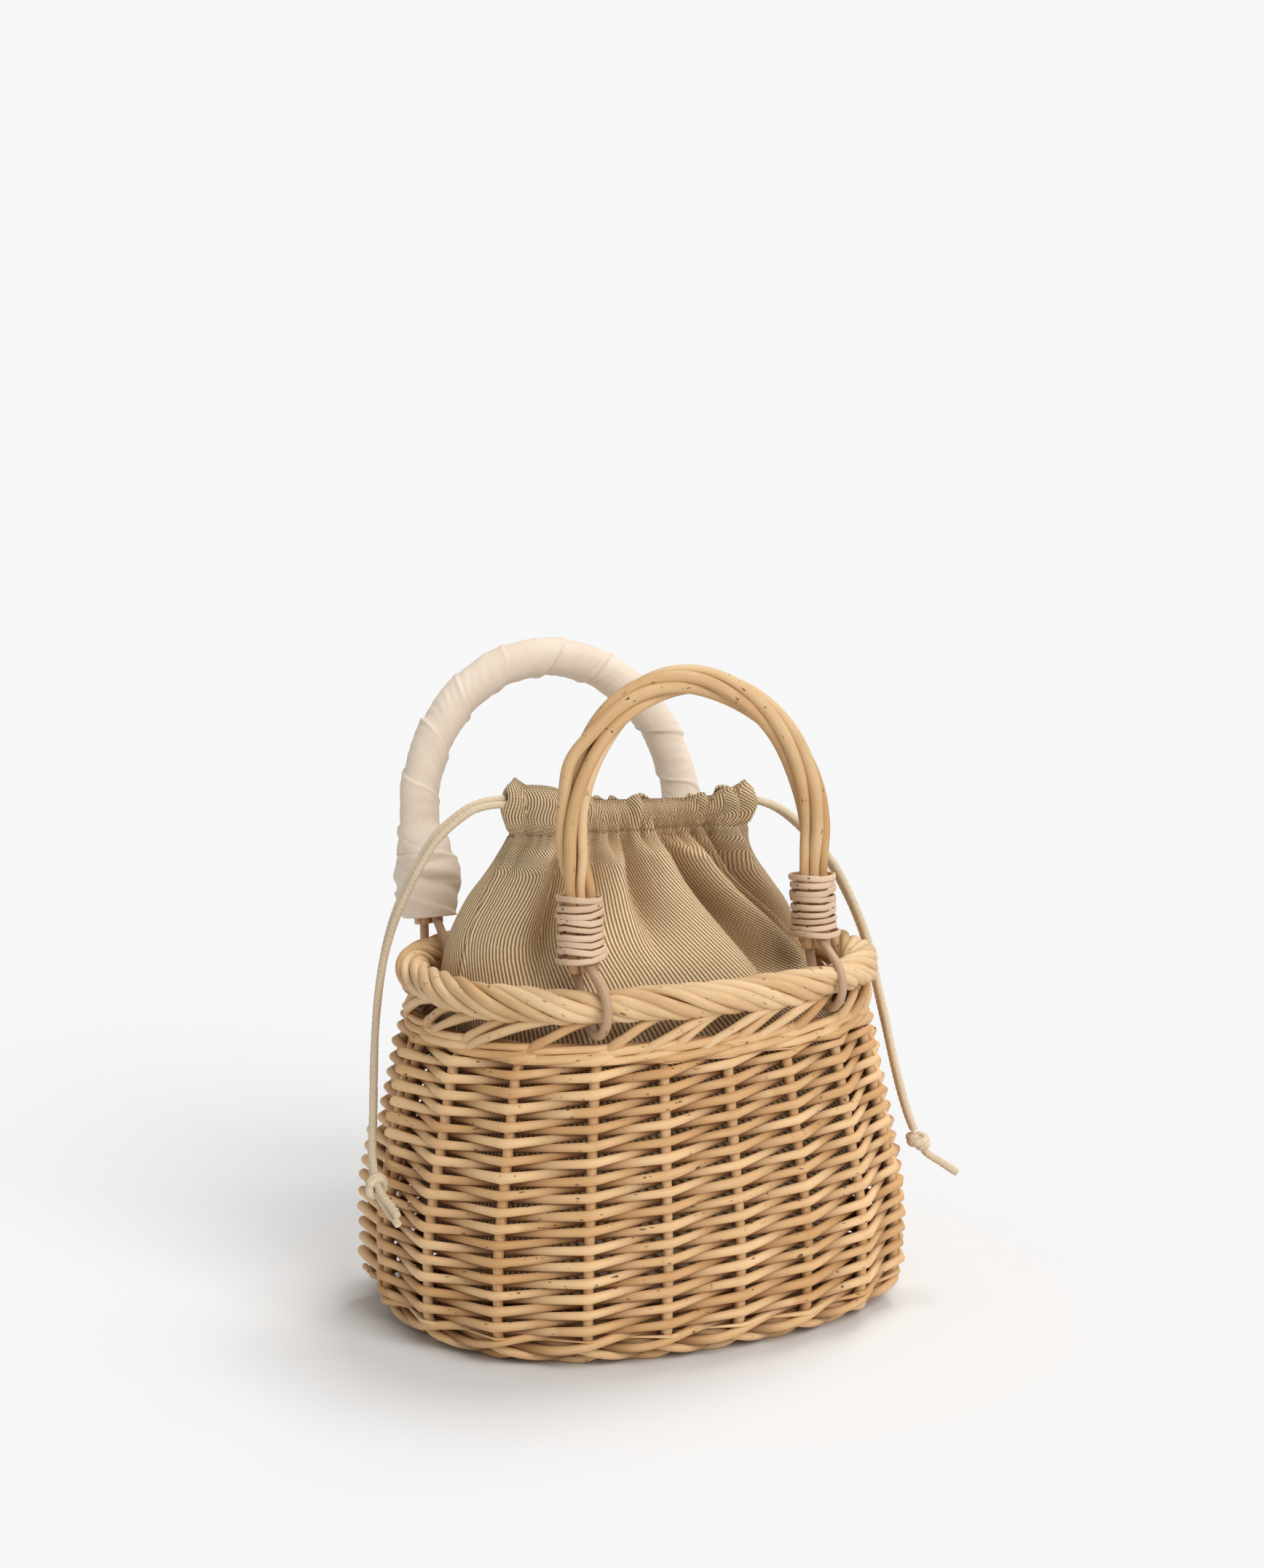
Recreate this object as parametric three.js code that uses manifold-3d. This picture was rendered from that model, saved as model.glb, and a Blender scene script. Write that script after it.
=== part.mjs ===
// A small wicker basket bag with two swinging handles and a drawstring pouch.
// Millimetres, +Z up. The origin is the middle of the flat underside.
// X runs along the basket, and the front is towards -Y.
import * as THREE from 'three';
import { mergeVertices } from 'three/addons/utils/BufferGeometryUtils.js';
import Module from 'manifold-3d';

// Basket
const BELLY_LENGTH = 230;
const BELLY_DEPTH = 186;
const WALL_HEIGHT = 129;
const WALL_THICKNESS = 8;
const OVAL_POWER = 2.47;
const BASE_THICKNESS = 8.3;
const BASE_INSET = 4.2;
const FOOT_HEIGHT = 10.7;
const WALE_HEIGHT = 7.7;
const WALE_BULGE = 1.2;
const GAP = 0.3;
const AROUND = 40;
const WALL_MARKS = [0, 0.15, 0.35, 0.6, 0.8, 1];
const FOOT_MARKS = [0, 0.3, 0.65, 1];

// Border
const ROPE_RADIUS = 7.5;
const ROPE_GROOVE = 1.2;
const ROPE_LAY = 100;
const ROPE_LOBES = 4;
const ROPE_PINCH = 0.6;
const PINCH_REACH = 7;
const STAKE_DIAMETER = 4.3;
const STAKE_LEAN = 6;
const STAKE_SIDES = 6;

// Handles
const LOOP_ROD = 3.8;
const LOOP_SLACK = 2.35;
const LEG_DROP = 2.6;
const LOOP_SIDES = 6;
const LOOP_BENDS = 9;
const HANDLE_DIAMETER = 13;
const HANDLE_LOBES = 5;
const HANDLE_TWIST = 1.1;
const ARCH_STEPS = 16;
const CORE_SIDES = 6;
const FOOT_RISE = 16;
const ROD_ENDS = 4.5;
const ROD_TIP = 0.6;
const BINDING_LENGTH = 26;
const BINDING_WALL = 1.7;
const BINDING_TURNS = 9;
const BINDING_GROOVE = 0.7;
const BINDING_SIDES = 12;
const TIE_WIDTH = 14;
const TIE_DEPTH = 7.2;
const FIT = 0.4;
const WRAP_CLOTH = 1.5;
const WRAP_BUNCH = 2.4;
const WRAP_START = 14.5;
const BUNCH_LENGTH = 30;
const WRAP_SIDES = 10;

// Pouch
const POUCH_HEIGHT = 212;
const POUCH_CLOTH = 1.5;
const CASING_HEIGHT = 17;
const FOLD_DEPTH = 5;
const LIP_RISE = 4;
const POUCH_SIDES = 44;

// Drawstrings
const CORD_DIAMETER = 2.8;
const CORD_SIDES = 8;
const CORD_STEP = 9;
const KNOT_DIAMETER = 9.4;
const TAIL_LENGTH = 20;
const KNOT_SIDES = 8;

// Shape of the basket wall from the floor up, as shares of its height and half sizes
const BELLY_ROWS = [
  { rise: 0, length: 0.871, depth: 0.824 },
  { rise: 0.085, length: 0.989, depth: 0.974 },
  { rise: 0.2, length: 1, depth: 0.995 },
  { rise: 0.36, length: 0.997, depth: 1 },
  { rise: 0.64, length: 0.938, depth: 0.939 },
  { rise: 0.91, length: 0.875, depth: 0.876 },
  { rise: 1, length: 0.849, depth: 0.852 },
];

// Each handle: where its feet are along X, its heights, its widening, its sway along X and
// its distance inwards from the border, all as shares of the border's half length.
// Lean is how far it tilts inwards for each millimetre that it rises.
const HANDLE_ROWS = [
  {
    name: 'front', side: -1, left: -0.569, right: 0.569, spring: 0.66, apex: 1.315,
    flare: 0.019, sway: -0.03, inset: 0.132, lean: 0.094,
  },
  {
    name: 'back', side: 1, left: -0.704, right: 0.64, spring: 0.56, apex: 1.295,
    flare: 0.019, sway: 0, inset: -0.053, lean: -0.15,
  },
];

// How many upright stakes stand in the border between neighbouring handle feet
const STAKES_BETWEEN = { front: 4, right: 6, back: 5, left: 5 };

// Pouch from its floor up, as shares of its height and of the border's opening:
// half length, half depth, shift along X, and how strong its folds are
const POUCH_ROWS = [
  { rise: 0, length: 0.734, depth: 0.718, shift: 0, fold: 0 },
  { rise: 0.04, length: 0.950, depth: 0.888, shift: 0, fold: 0 },
  { rise: 0.16, length: 1.069, depth: 0.945, shift: 0, fold: 0.1 },
  { rise: 0.36, length: 1.058, depth: 0.945, shift: 0, fold: 0.15 },
  { rise: 0.52, length: 1.004, depth: 0.888, shift: 0, fold: 0.25 },
  { rise: 0.65, length: 0.977, depth: 0.765, shift: -0.011, fold: 0.45 },
  { rise: 0.72, length: 0.929, depth: 0.655, shift: -0.032, fold: 0.7 },
  { rise: 0.8, length: 0.799, depth: 0.529, shift: -0.076, fold: 1 },
  { rise: 0.87, length: 0.691, depth: 0.350, shift: -0.059, fold: 0.9 },
  { rise: 0.92, length: 0.653, depth: 0.156, shift: -0.032, fold: 0.25 },
  { rise: 1, length: 0.680, depth: 0.142, shift: -0.029, fold: 0.2 },
];

// Heights of the rings inside the pouch, from its mouth down
const LINING_RISES = [1, 0.92, 0.87, 0.8, 0.72, 0.65, 0.52, 0.3, 0.05];

// Folds in the pouch: where around it (0 is the middle of the front, 0.25 the right end),
// how wide as a share of the way around, and how deep as a share of the deepest
const FOLD_ROWS = [
  { around: -0.125, width: 0.022, depth: 0.5 },
  { around: -0.042, width: 0.02, depth: 0.8 },
  { around: 0.012, width: 0.02, depth: 1 },
  { around: 0.08, width: 0.024, depth: 1 },
  { around: 0.14, width: 0.022, depth: 0.6 },
  { around: 0.345, width: 0.022, depth: 0.8 },
  { around: 0.42, width: 0.022, depth: 1 },
  { around: 0.5, width: 0.022, depth: 0.9 },
  { around: 0.575, width: 0.022, depth: 1 },
  { around: 0.655, width: 0.022, depth: 0.7 },
];

// Route of each pair of drawstrings from the casing down to the knot, chosen by hand.
// Spread is how far apart the two strands run, in cord diameters.
const LEFT_ROUTE = [
  { x: -60.5, y: 0, z: 215.4, spread: 1.08 },
  { x: -69.5, y: 0.6, z: 214.8, spread: 1.1 },
  { x: -77.1, y: 2, z: 212, spread: 1.1 },
  { x: -88.2, y: 6, z: 202, spread: 1.1 },
  { x: -94, y: 12, z: 189.5, spread: 1.15 },
  { x: -97, y: 19, z: 177.5, spread: 1.2 },
  { x: -98.6, y: 27, z: 165, spread: 1.2 },
  { x: -99.6, y: 32.5, z: 154, spread: 1.2 },
  { x: -100.4, y: 36, z: 143.5, spread: 1.2 },
  { x: -101.6, y: 37.5, z: 132, spread: 1.2 },
  { x: -103.2, y: 37, z: 119, spread: 1.25 },
  { x: -104.6, y: 35.6, z: 106, spread: 1.3 },
  { x: -106.1, y: 33, z: 93, spread: 1.4 },
  { x: -108.6, y: 28, z: 81, spread: 1.35 },
  { x: -112.9, y: 19, z: 72, spread: 1.2 },
  { x: -116.4, y: 9.5, z: 66.5, spread: 1.1 },
  { x: -118, y: 3.5, z: 64.2, spread: 1.08 },
];
const RIGHT_ROUTE = [
  { x: 54.8, y: 0, z: 208.6, spread: 1.08 },
  { x: 66.5, y: -0.4, z: 204.2, spread: 1.1 },
  { x: 76.2, y: -2, z: 197, spread: 1.1 },
  { x: 84.2, y: -5, z: 187.6, spread: 1.15 },
  { x: 90.4, y: -9, z: 177.8, spread: 1.2 },
  { x: 95.6, y: -12.6, z: 166, spread: 1.2 },
  { x: 99.8, y: -15, z: 155, spread: 1.2 },
  { x: 102.8, y: -17, z: 144.5, spread: 1.2 },
  { x: 104.2, y: -20.4, z: 132.6, spread: 1.2 },
  { x: 104.6, y: -25, z: 121.5, spread: 1.2 },
  { x: 104.8, y: -30, z: 110, spread: 1.2 },
  { x: 105, y: -35, z: 98, spread: 1.2 },
  { x: 105.8, y: -39.5, z: 86, spread: 1.2 },
  { x: 107.6, y: -43, z: 75, spread: 1.15 },
  { x: 109.6, y: -45, z: 68, spread: 1.08 },
];
const TAIL_TURN = {
  left: new THREE.Vector3(0.05, -0.93, -0.36),
  right: new THREE.Vector3(0.8, -0.14, -0.58),
};

// The knot and the start of its tail, as shares of the knot's size
const KNOT_ROWS = [
  { share: 0, wide: 0.3, deep: 0.3 },
  { share: 0.2, wide: 0.46, deep: 0.44 },
  { share: 0.5, wide: 0.52, deep: 0.5 },
  { share: 0.8, wide: 0.44, deep: 0.42 },
  { share: 1, wide: 0.31, deep: 0.24 },
];

const LOOP_RADIUS = ROPE_RADIUS + LOOP_SLACK + LOOP_ROD / 2;
const RIM_HEIGHT = WALL_HEIGHT + GAP + LOOP_ROD / 2 + LOOP_RADIUS;
const RIM_HALF = grown(bellyAt(WALL_HEIGHT), -WALL_THICKNESS / 2, RIM_HEIGHT);
const OPENING = grown(RIM_HALF, -ROPE_RADIUS, RIM_HEIGHT);

const wasm = await Module();
wasm.setup();

const willow = { color: 0xcfa878, roughness: 0.62, metalness: 0 };
const skein = { color: 0xdcbf9c, roughness: 0.55, metalness: 0 };
const twill = { color: 0xcdbb96, roughness: 0.9, metalness: 0 };
const cotton = { color: 0xefe3d2, roughness: 0.88, metalness: 0 };
const braid = { color: 0xe0cdb0, roughness: 0.85, metalness: 0 };

const bag = new THREE.Group();

// A point of the oval plan at an angle, 0 at the right end and rising towards the back
function ovalPoint(angle, halfLength, halfDepth) {
  const power = 2 / OVAL_POWER;
  const c = Math.cos(angle);
  const s = Math.sin(angle);
  return new THREE.Vector2(halfLength * squared(c, power), halfDepth * squared(s, power));
}

// Angles that part the border's oval, from one angle to another, at even distances
function evenAngles(from, to, marks) {
  const fine = 400;
  const angles = [];
  const runs = [0];
  for (let i = 0; i <= fine; i += 1) angles.push(from + (to - from) * (i / fine));
  const spots = angles.map((angle) => ovalPoint(angle, RIM_HALF.length, RIM_HALF.depth));
  for (let i = 1; i <= fine; i += 1) runs.push(runs[i - 1] + spots[i].distanceTo(spots[i - 1]));
  return marks.map((mark) => {
    const aim = mark * runs[fine];
    const next = Math.max(1, runs.findIndex((run) => run >= aim - 1e-9));
    const share = (aim - runs[next - 1]) / (runs[next] - runs[next - 1]);
    return angles[next - 1] + share * (angles[next] - angles[next - 1]);
  });
}

// The border's angle on the front (side -1) or back (side 1) at a share of its half length
function angleAtShare(share, side) {
  const c = Math.sign(share) * Math.abs(share) ** (OVAL_POWER / 2);
  return side * Math.acos(c);
}

// A value read smoothly from rows that rise from 0
function readRows(rows, rise, column) {
  const last = rows.length - 1;
  const above = rows.filter((row) => row.rise < rise).length;
  const next = Math.min(last, Math.max(1, above));
  const low = rows[next - 1];
  const high = rows[next];
  const before = rows[Math.max(0, next - 2)];
  const after = rows[Math.min(last, next + 1)];
  const span = high.rise - low.rise;
  const t = Math.min(1, Math.max(0, (rise - low.rise) / span));
  const slopeLow = ((high[column] - before[column]) / (high.rise - before.rise)) * span;
  const slopeHigh = ((after[column] - low[column]) / (after.rise - low.rise)) * span;
  const bend = (2 * t ** 3 - 3 * t ** 2 + 1) * low[column] + (t ** 3 - 2 * t ** 2 + t) * slopeLow;
  return bend + (3 * t ** 2 - 2 * t ** 3) * high[column] + (t ** 3 - t ** 2) * slopeHigh;
}

// Half length and half depth of the basket's outside at a height
function bellyAt(height) {
  const rise = height / WALL_HEIGHT;
  return {
    length: (readRows(BELLY_ROWS, rise, 'length') * BELLY_LENGTH) / 2,
    depth: (readRows(BELLY_ROWS, rise, 'depth') * BELLY_DEPTH) / 2,
  };
}

// A closed skin over rings of points: end caps, or the last ring joined to the first
function skin(rings, closed) {
  const sides = rings[0].length;
  const points = rings.flat();
  const faces = [];
  const rows = closed ? rings.length : rings.length - 1;
  for (let row = 0; row < rows; row += 1) {
    const next = (row + 1) % rings.length;
    for (let side = 0; side < sides; side += 1) {
      const beside = (side + 1) % sides;
      const a = row * sides + side;
      const b = row * sides + beside;
      const c = next * sides + beside;
      const d = next * sides + side;
      faces.push([a, b, c], [a, c, d]);
    }
  }
  if (!closed) {
    addCap(points, faces, 0, sides, true);
    addCap(points, faces, (rings.length - 1) * sides, sides, false);
  }
  return shell(points, faces);
}

function addCap(points, faces, start, sides, first) {
  const middle = new THREE.Vector3();
  for (let side = 0; side < sides; side += 1) middle.add(points[start + side]);
  points.push(middle.divideScalar(sides));
  const centre = points.length - 1;
  for (let side = 0; side < sides; side += 1) {
    const a = start + side;
    const b = start + ((side + 1) % sides);
    faces.push(first ? [centre, b, a] : [centre, a, b]);
  }
}

// Points and faces as a geometry whose faces look outwards
function shell(points, faces) {
  const volume = faces.reduce((sum, [a, b, c]) => {
    const across = new THREE.Vector3().crossVectors(points[b], points[c]);
    return sum + points[a].dot(across);
  }, 0);
  const turned = volume < 0 ? faces.map(([a, b, c]) => [a, c, b]) : faces;
  const geometry = new THREE.BufferGeometry();
  const flat = points.flatMap((point) => point.toArray());
  geometry.setAttribute('position', new THREE.Float32BufferAttribute(flat, 3));
  geometry.setIndex(turned.flat());
  return geometry;
}

function toSolid(geometry) {
  const bare = geometry.clone();
  bare.deleteAttribute('normal');
  bare.deleteAttribute('uv');
  const merged = mergeVertices(bare, 1e-4);
  const vertProperties = new Float32Array(merged.attributes.position.array);
  const triVerts = new Uint32Array(merged.index.array);
  return new wasm.Manifold(new wasm.Mesh({ numProp: 3, vertProperties, triVerts }));
}

function toGeometry(solid) {
  const mesh = solid.getMesh();
  const geometry = new THREE.BufferGeometry();
  geometry.setAttribute('position', new THREE.BufferAttribute(mesh.vertProperties, 3));
  geometry.setIndex(new THREE.BufferAttribute(mesh.triVerts, 1));
  return geometry;
}

function addPiece(parent, name, geometry, finish) {
  geometry.computeVertexNormals();
  const mesh = new THREE.Mesh(geometry, new THREE.MeshStandardMaterial(finish));
  mesh.name = name;
  parent.add(mesh);
  return mesh;
}

// A band that follows the oval: a closed profile of half sizes and heights, at each angle
function ovalBand(profile, count) {
  const marks = Array.from({ length: count }, (_, i) => i / count);
  const angles = evenAngles(0, 2 * Math.PI, marks);
  const rings = angles.map((angle) => profile.map((spot) => {
    const point = ovalPoint(angle, spot.length, spot.depth);
    return new THREE.Vector3(point.x, point.y, spot.height);
  }));
  return skin(rings, true);
}

function grown(size, by, height) {
  return { length: size.length + by, depth: size.depth + by, height };
}

// A tube along a path. The section gives its two half widths at a step and angle, of which
// the first lies along the steady direction, and how square its oval is.
function tube(path, steady, sides, section) {
  const rings = path.map((point, step) => {
    const before = path[Math.max(0, step - 1)];
    const after = path[Math.min(path.length - 1, step + 1)];
    const ahead = new THREE.Vector3().subVectors(after, before).normalize();
    const across = new THREE.Vector3().crossVectors(ahead, steady).normalize();
    const along = new THREE.Vector3().crossVectors(across, ahead).normalize();
    return Array.from({ length: sides }, (_, side) => {
      const angle = (2 * Math.PI * side) / sides;
      const size = section(step, angle);
      const square = size.square ?? 1;
      const spot = point.clone();
      spot.addScaledVector(along, size.along * squared(Math.cos(angle), square));
      return spot.addScaledVector(across, size.across * squared(Math.sin(angle), square));
    });
  });
  return rings;
}

// A cosine or sine raised to a power below 1, which turns an ellipse into a fuller oval
function squared(value, power) {
  return Math.sign(value) * Math.abs(value) ** power;
}

function makeBase() {
  const low = grown(bellyAt(0), -BASE_INSET, 0);
  const marks = Array.from({ length: AROUND }, (_, i) => i / AROUND);
  const angles = evenAngles(0, 2 * Math.PI, marks);
  const rings = [0, BASE_THICKNESS].map((height) => angles.map((angle) => {
    const point = ovalPoint(angle, low.length, low.depth);
    return new THREE.Vector3(point.x, point.y, height);
  }));
  addPiece(bag, 'base_weave', skin(rings, false), willow);
}

function makeFoot() {
  const inner = grown(bellyAt(0), GAP - BASE_INSET, 0);
  const top = bellyAt(FOOT_HEIGHT);
  const heights = FOOT_MARKS.map((mark) => FOOT_HEIGHT * mark);
  const profile = [
    { ...inner, height: 0 },
    ...heights.map((height) => ({ ...bellyAt(height), height })),
    grown(top, -WALL_THICKNESS, FOOT_HEIGHT),
    { ...inner, height: BASE_THICKNESS },
  ];
  addPiece(bag, 'foot_wale', ovalBand(profile, AROUND), willow);
}

function makeWall() {
  const bottom = FOOT_HEIGHT + GAP;
  const top = WALL_HEIGHT - WALE_HEIGHT - GAP;
  const heights = WALL_MARKS.map((mark) => bottom + (top - bottom) * mark);
  const outer = heights.map((height) => ({ ...bellyAt(height), height }));
  const inner = outer.map((size) => grown(size, -WALL_THICKNESS, size.height)).reverse();
  addPiece(bag, 'side_wall', ovalBand([...outer, ...inner], AROUND), willow);
}

function makeWale() {
  const bottom = WALL_HEIGHT - WALE_HEIGHT;
  const middle = WALL_HEIGHT - WALE_HEIGHT / 2;
  const low = bellyAt(bottom);
  const high = bellyAt(WALL_HEIGHT);
  const profile = [
    grown(low, 0, bottom),
    grown(bellyAt(middle), WALE_BULGE, middle),
    grown(high, 0, WALL_HEIGHT),
    grown(high, -WALL_THICKNESS, WALL_HEIGHT),
    grown(low, -WALL_THICKNESS, bottom),
  ];
  addPiece(bag, 'upper_wale', ovalBand(profile, AROUND), willow);
}

// Angles of the four handle feet on the border, in order around it from the front left
function footAngles() {
  const [front, back] = HANDLE_ROWS;
  return {
    frontLeft: angleAtShare(front.left, -1),
    frontRight: angleAtShare(front.right, -1),
    backRight: angleAtShare(back.right, 1),
    backLeft: angleAtShare(back.left, 1),
  };
}

function stakeAngles() {
  const feet = footAngles();
  const runs = [
    { from: feet.frontLeft, to: feet.frontRight, count: STAKES_BETWEEN.front },
    { from: feet.frontRight, to: feet.backRight, count: STAKES_BETWEEN.right },
    { from: feet.backRight, to: feet.backLeft, count: STAKES_BETWEEN.back },
    { from: feet.backLeft, to: feet.frontLeft + 2 * Math.PI, count: STAKES_BETWEEN.left },
  ];
  return runs.flatMap(({ from, to, count }) => {
    const marks = Array.from({ length: count }, (_, i) => (i + 0.5) / count);
    return evenAngles(from, to, marks);
  });
}

// Each stake bends over in the open band below the border and runs into it
function stakeNeck(angle) {
  const lead = evenAngles(angle, angle + Math.PI / 8, [0, 1]);
  const size = bellyAt(WALL_HEIGHT);
  const middle = grown(size, -WALL_THICKNESS / 2, 0);
  const low = ovalPoint(angle, middle.length, middle.depth);
  const stride = ovalPoint(lead[1], RIM_HALF.length, RIM_HALF.depth);
  const high = ovalPoint(angle, RIM_HALF.length, RIM_HALF.depth);
  const step = stride.sub(high).setLength(STAKE_LEAN);
  const path = [
    new THREE.Vector3(low.x, low.y, WALL_HEIGHT + GAP),
    new THREE.Vector3(high.x + step.x, high.y + step.y, RIM_HEIGHT - ROPE_RADIUS / 2),
  ];
  const half = STAKE_DIAMETER / 2;
  const rings = path.map((point) => Array.from({ length: STAKE_SIDES }, (_, side) => {
    const turn = (2 * Math.PI * side) / STAKE_SIDES;
    const spot = new THREE.Vector3(half * Math.cos(turn), half * Math.sin(turn), 0);
    return spot.add(point);
  }));
  return skin(rings, false);
}

function makeBorder() {
  const steps = AROUND * 2;
  const marks = Array.from({ length: steps }, (_, i) => i / steps);
  const angles = evenAngles(0, 2 * Math.PI, marks);
  const path = angles.map((angle) => {
    const point = ovalPoint(angle, RIM_HALF.length, RIM_HALF.depth);
    return new THREE.Vector3(point.x, point.y, RIM_HEIGHT);
  });
  const feet = Object.values(footAngles()).map((angle) => {
    const point = ovalPoint(angle, RIM_HALF.length, RIM_HALF.depth);
    return new THREE.Vector3(point.x, point.y, RIM_HEIGHT);
  });
  const length = path.reduce((sum, point, i) => sum + point.distanceTo(path[(i + 1) % steps]), 0);
  const turns = Math.round(length / ROPE_LAY);
  const sides = ROPE_LOBES * 2;
  const rings = path.map((point, step) => {
    const before = path[(step + steps - 1) % steps];
    const after = path[(step + 1) % steps];
    const ahead = new THREE.Vector3().subVectors(after, before).normalize();
    const out = new THREE.Vector3(ahead.y, -ahead.x, 0);
    const nearest = Math.min(...feet.map((foot) => foot.distanceTo(point)));
    const pinch = ROPE_PINCH * Math.exp(-((nearest / PINCH_REACH) ** 2));
    const twist = (2 * Math.PI * turns * step) / steps;
    return Array.from({ length: sides }, (_, side) => {
      const angle = (2 * Math.PI * side) / sides - twist;
      const groove = side % 2 ? ROPE_GROOVE : 0;
      const radius = ROPE_RADIUS - groove - pinch;
      const spot = point.clone().addScaledVector(out, radius * Math.cos(angle));
      spot.z += radius * Math.sin(angle);
      return spot;
    });
  });
  const rope = toSolid(skin(rings, true));
  const necks = stakeAngles().map((angle) => toSolid(stakeNeck(angle)));
  const joined = necks.reduce((solid, neck) => solid.add(neck), rope);
  addPiece(bag, 'rim_border', toGeometry(joined), willow);
}

// Sizes of one handle in its own frame: X along its feet, Y towards the bag's middle,
// Z up, with the origin midway between the border's centres at its feet
function handleFrame(row) {
  const left = ovalPoint(angleAtShare(row.left, row.side), RIM_HALF.length, RIM_HALF.depth);
  const right = ovalPoint(angleAtShare(row.right, row.side), RIM_HALF.length, RIM_HALF.depth);
  const group = new THREE.Group();
  group.position.set((left.x + right.x) / 2, (left.y + right.y) / 2, RIM_HEIGHT);
  const skew = Math.atan2(right.y - left.y, right.x - left.x);
  group.rotation.z = row.side < 0 ? skew : skew + Math.PI;
  bag.add(group);
  const half = RIM_HALF.length;
  return {
    group,
    foot: left.distanceTo(right) / 2,
    spring: row.spring * half,
    apex: row.apex * half,
    flare: row.flare * half,
    sway: row.sway * half * (row.side < 0 ? 1 : -1),
    inset: row.inset * half,
    lean: row.lean,
  };
}

// A point of the handle's plane, at a place along its feet and a rise above the border
function leaning(frame, x, rise) {
  return new THREE.Vector3(x, frame.inset + frame.lean * (rise - FOOT_RISE), rise);
}

function archPath(frame, start) {
  const top = FOOT_RISE + BINDING_LENGTH;
  const wide = frame.foot + frame.flare;
  const legs = [
    { x: frame.foot, rise: start },
    { x: frame.foot, rise: FOOT_RISE },
    { x: frame.foot, rise: top },
    { x: frame.foot + frame.flare * 0.3, rise: top + (frame.spring - top) * 0.3 },
    { x: frame.foot + frame.flare * 0.8, rise: top + (frame.spring - top) * 0.7 },
  ];
  const arc = Array.from({ length: ARCH_STEPS + 1 }, (_, i) => {
    const angle = (Math.PI * i) / ARCH_STEPS;
    const rise = frame.spring + (frame.apex - frame.spring) * Math.sin(angle);
    return { x: -wide * Math.cos(angle), rise };
  });
  const left = legs.map((spot) => ({ x: -spot.x, rise: spot.rise }));
  const all = [...left, ...arc, ...legs.reverse()];
  return all.map(({ x, rise }) => {
    const height = Math.max(0, rise - top) / (frame.apex - top);
    return leaning(frame, x + frame.sway * height ** 2, rise);
  });
}

// The handle's bundle is flat where it is tied, and a round twisted bundle above
function bundleSection(frame, path, groove) {
  const top = FOOT_RISE + BINDING_LENGTH;
  const round = HANDLE_DIAMETER / 2;
  return (step, angle) => {
    const free = Math.min(1, Math.max(0, (path[step].z - top) / HANDLE_DIAMETER));
    const twist = (2 * Math.PI * HANDLE_TWIST * step) / (path.length - 1);
    const lobe = (1 - Math.cos(HANDLE_LOBES * (angle + twist))) / 2;
    const radius = round - groove * lobe;
    const thin = path[step].z < FOOT_RISE - GAP ? ROD_TIP : 1;
    return {
      along: (TIE_DEPTH / 2) * thin + (radius - TIE_DEPTH / 2) * free,
      across: TIE_WIDTH / 2 + (radius - TIE_WIDTH / 2) * free,
    };
  };
}

function normalOf(frame) {
  return new THREE.Vector3(0, 1, -frame.lean).normalize();
}

function makeHandle(frame, name, groove, sides) {
  const path = archPath(frame, FOOT_RISE - ROD_ENDS);
  const rings = tube(path, normalOf(frame), sides, bundleSection(frame, path, groove));
  addPiece(frame.group, name, skin(rings, false), willow);
}

// Half widths of the hole in a binding, which holds the bundle and a loop's two legs
const HOLE = {
  across: TIE_WIDTH / 2 + FIT,
  along: TIE_DEPTH / 2 + GAP + LOOP_ROD + FIT,
};

function makeBinding(frame, side, name, turns) {
  const lastTurn = turns > 1 ? BINDING_GROOVE : 0;
  const foot = leaning(frame, side * frame.foot, FOOT_RISE);
  const head = leaning(frame, side * frame.foot, FOOT_RISE + BINDING_LENGTH);
  const steps = turns * 2;
  const outer = Array.from({ length: steps + 1 }, (_, i) => ({
    share: i / steps,
    wall: BINDING_WALL - (i % 2 ? 0 : BINDING_GROOVE) + (i === 1 ? lastTurn : 0),
  }));
  const inner = [{ share: 1, wall: 0 }, { share: 0, wall: 0 }];
  const marks = [...outer, ...inner];
  const path = marks.map(({ share }) => foot.clone().lerp(head, share));
  const ahead = new THREE.Vector3().subVectors(head, foot).normalize();
  const along = normalOf(frame);
  const across = new THREE.Vector3().crossVectors(ahead, along);
  const power = 2 / OVAL_POWER;
  const rings = path.map((point, step) => Array.from({ length: BINDING_SIDES }, (_, i) => {
    const angle = (2 * Math.PI * i) / BINDING_SIDES;
    const wide = (HOLE.along + marks[step].wall) * squared(Math.cos(angle), power);
    const deep = (HOLE.across + marks[step].wall) * squared(Math.sin(angle), power);
    return point.clone().addScaledVector(along, wide).addScaledVector(across, deep);
  }));
  addPiece(frame.group, name, skin(rings, true), skein);
}

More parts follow.
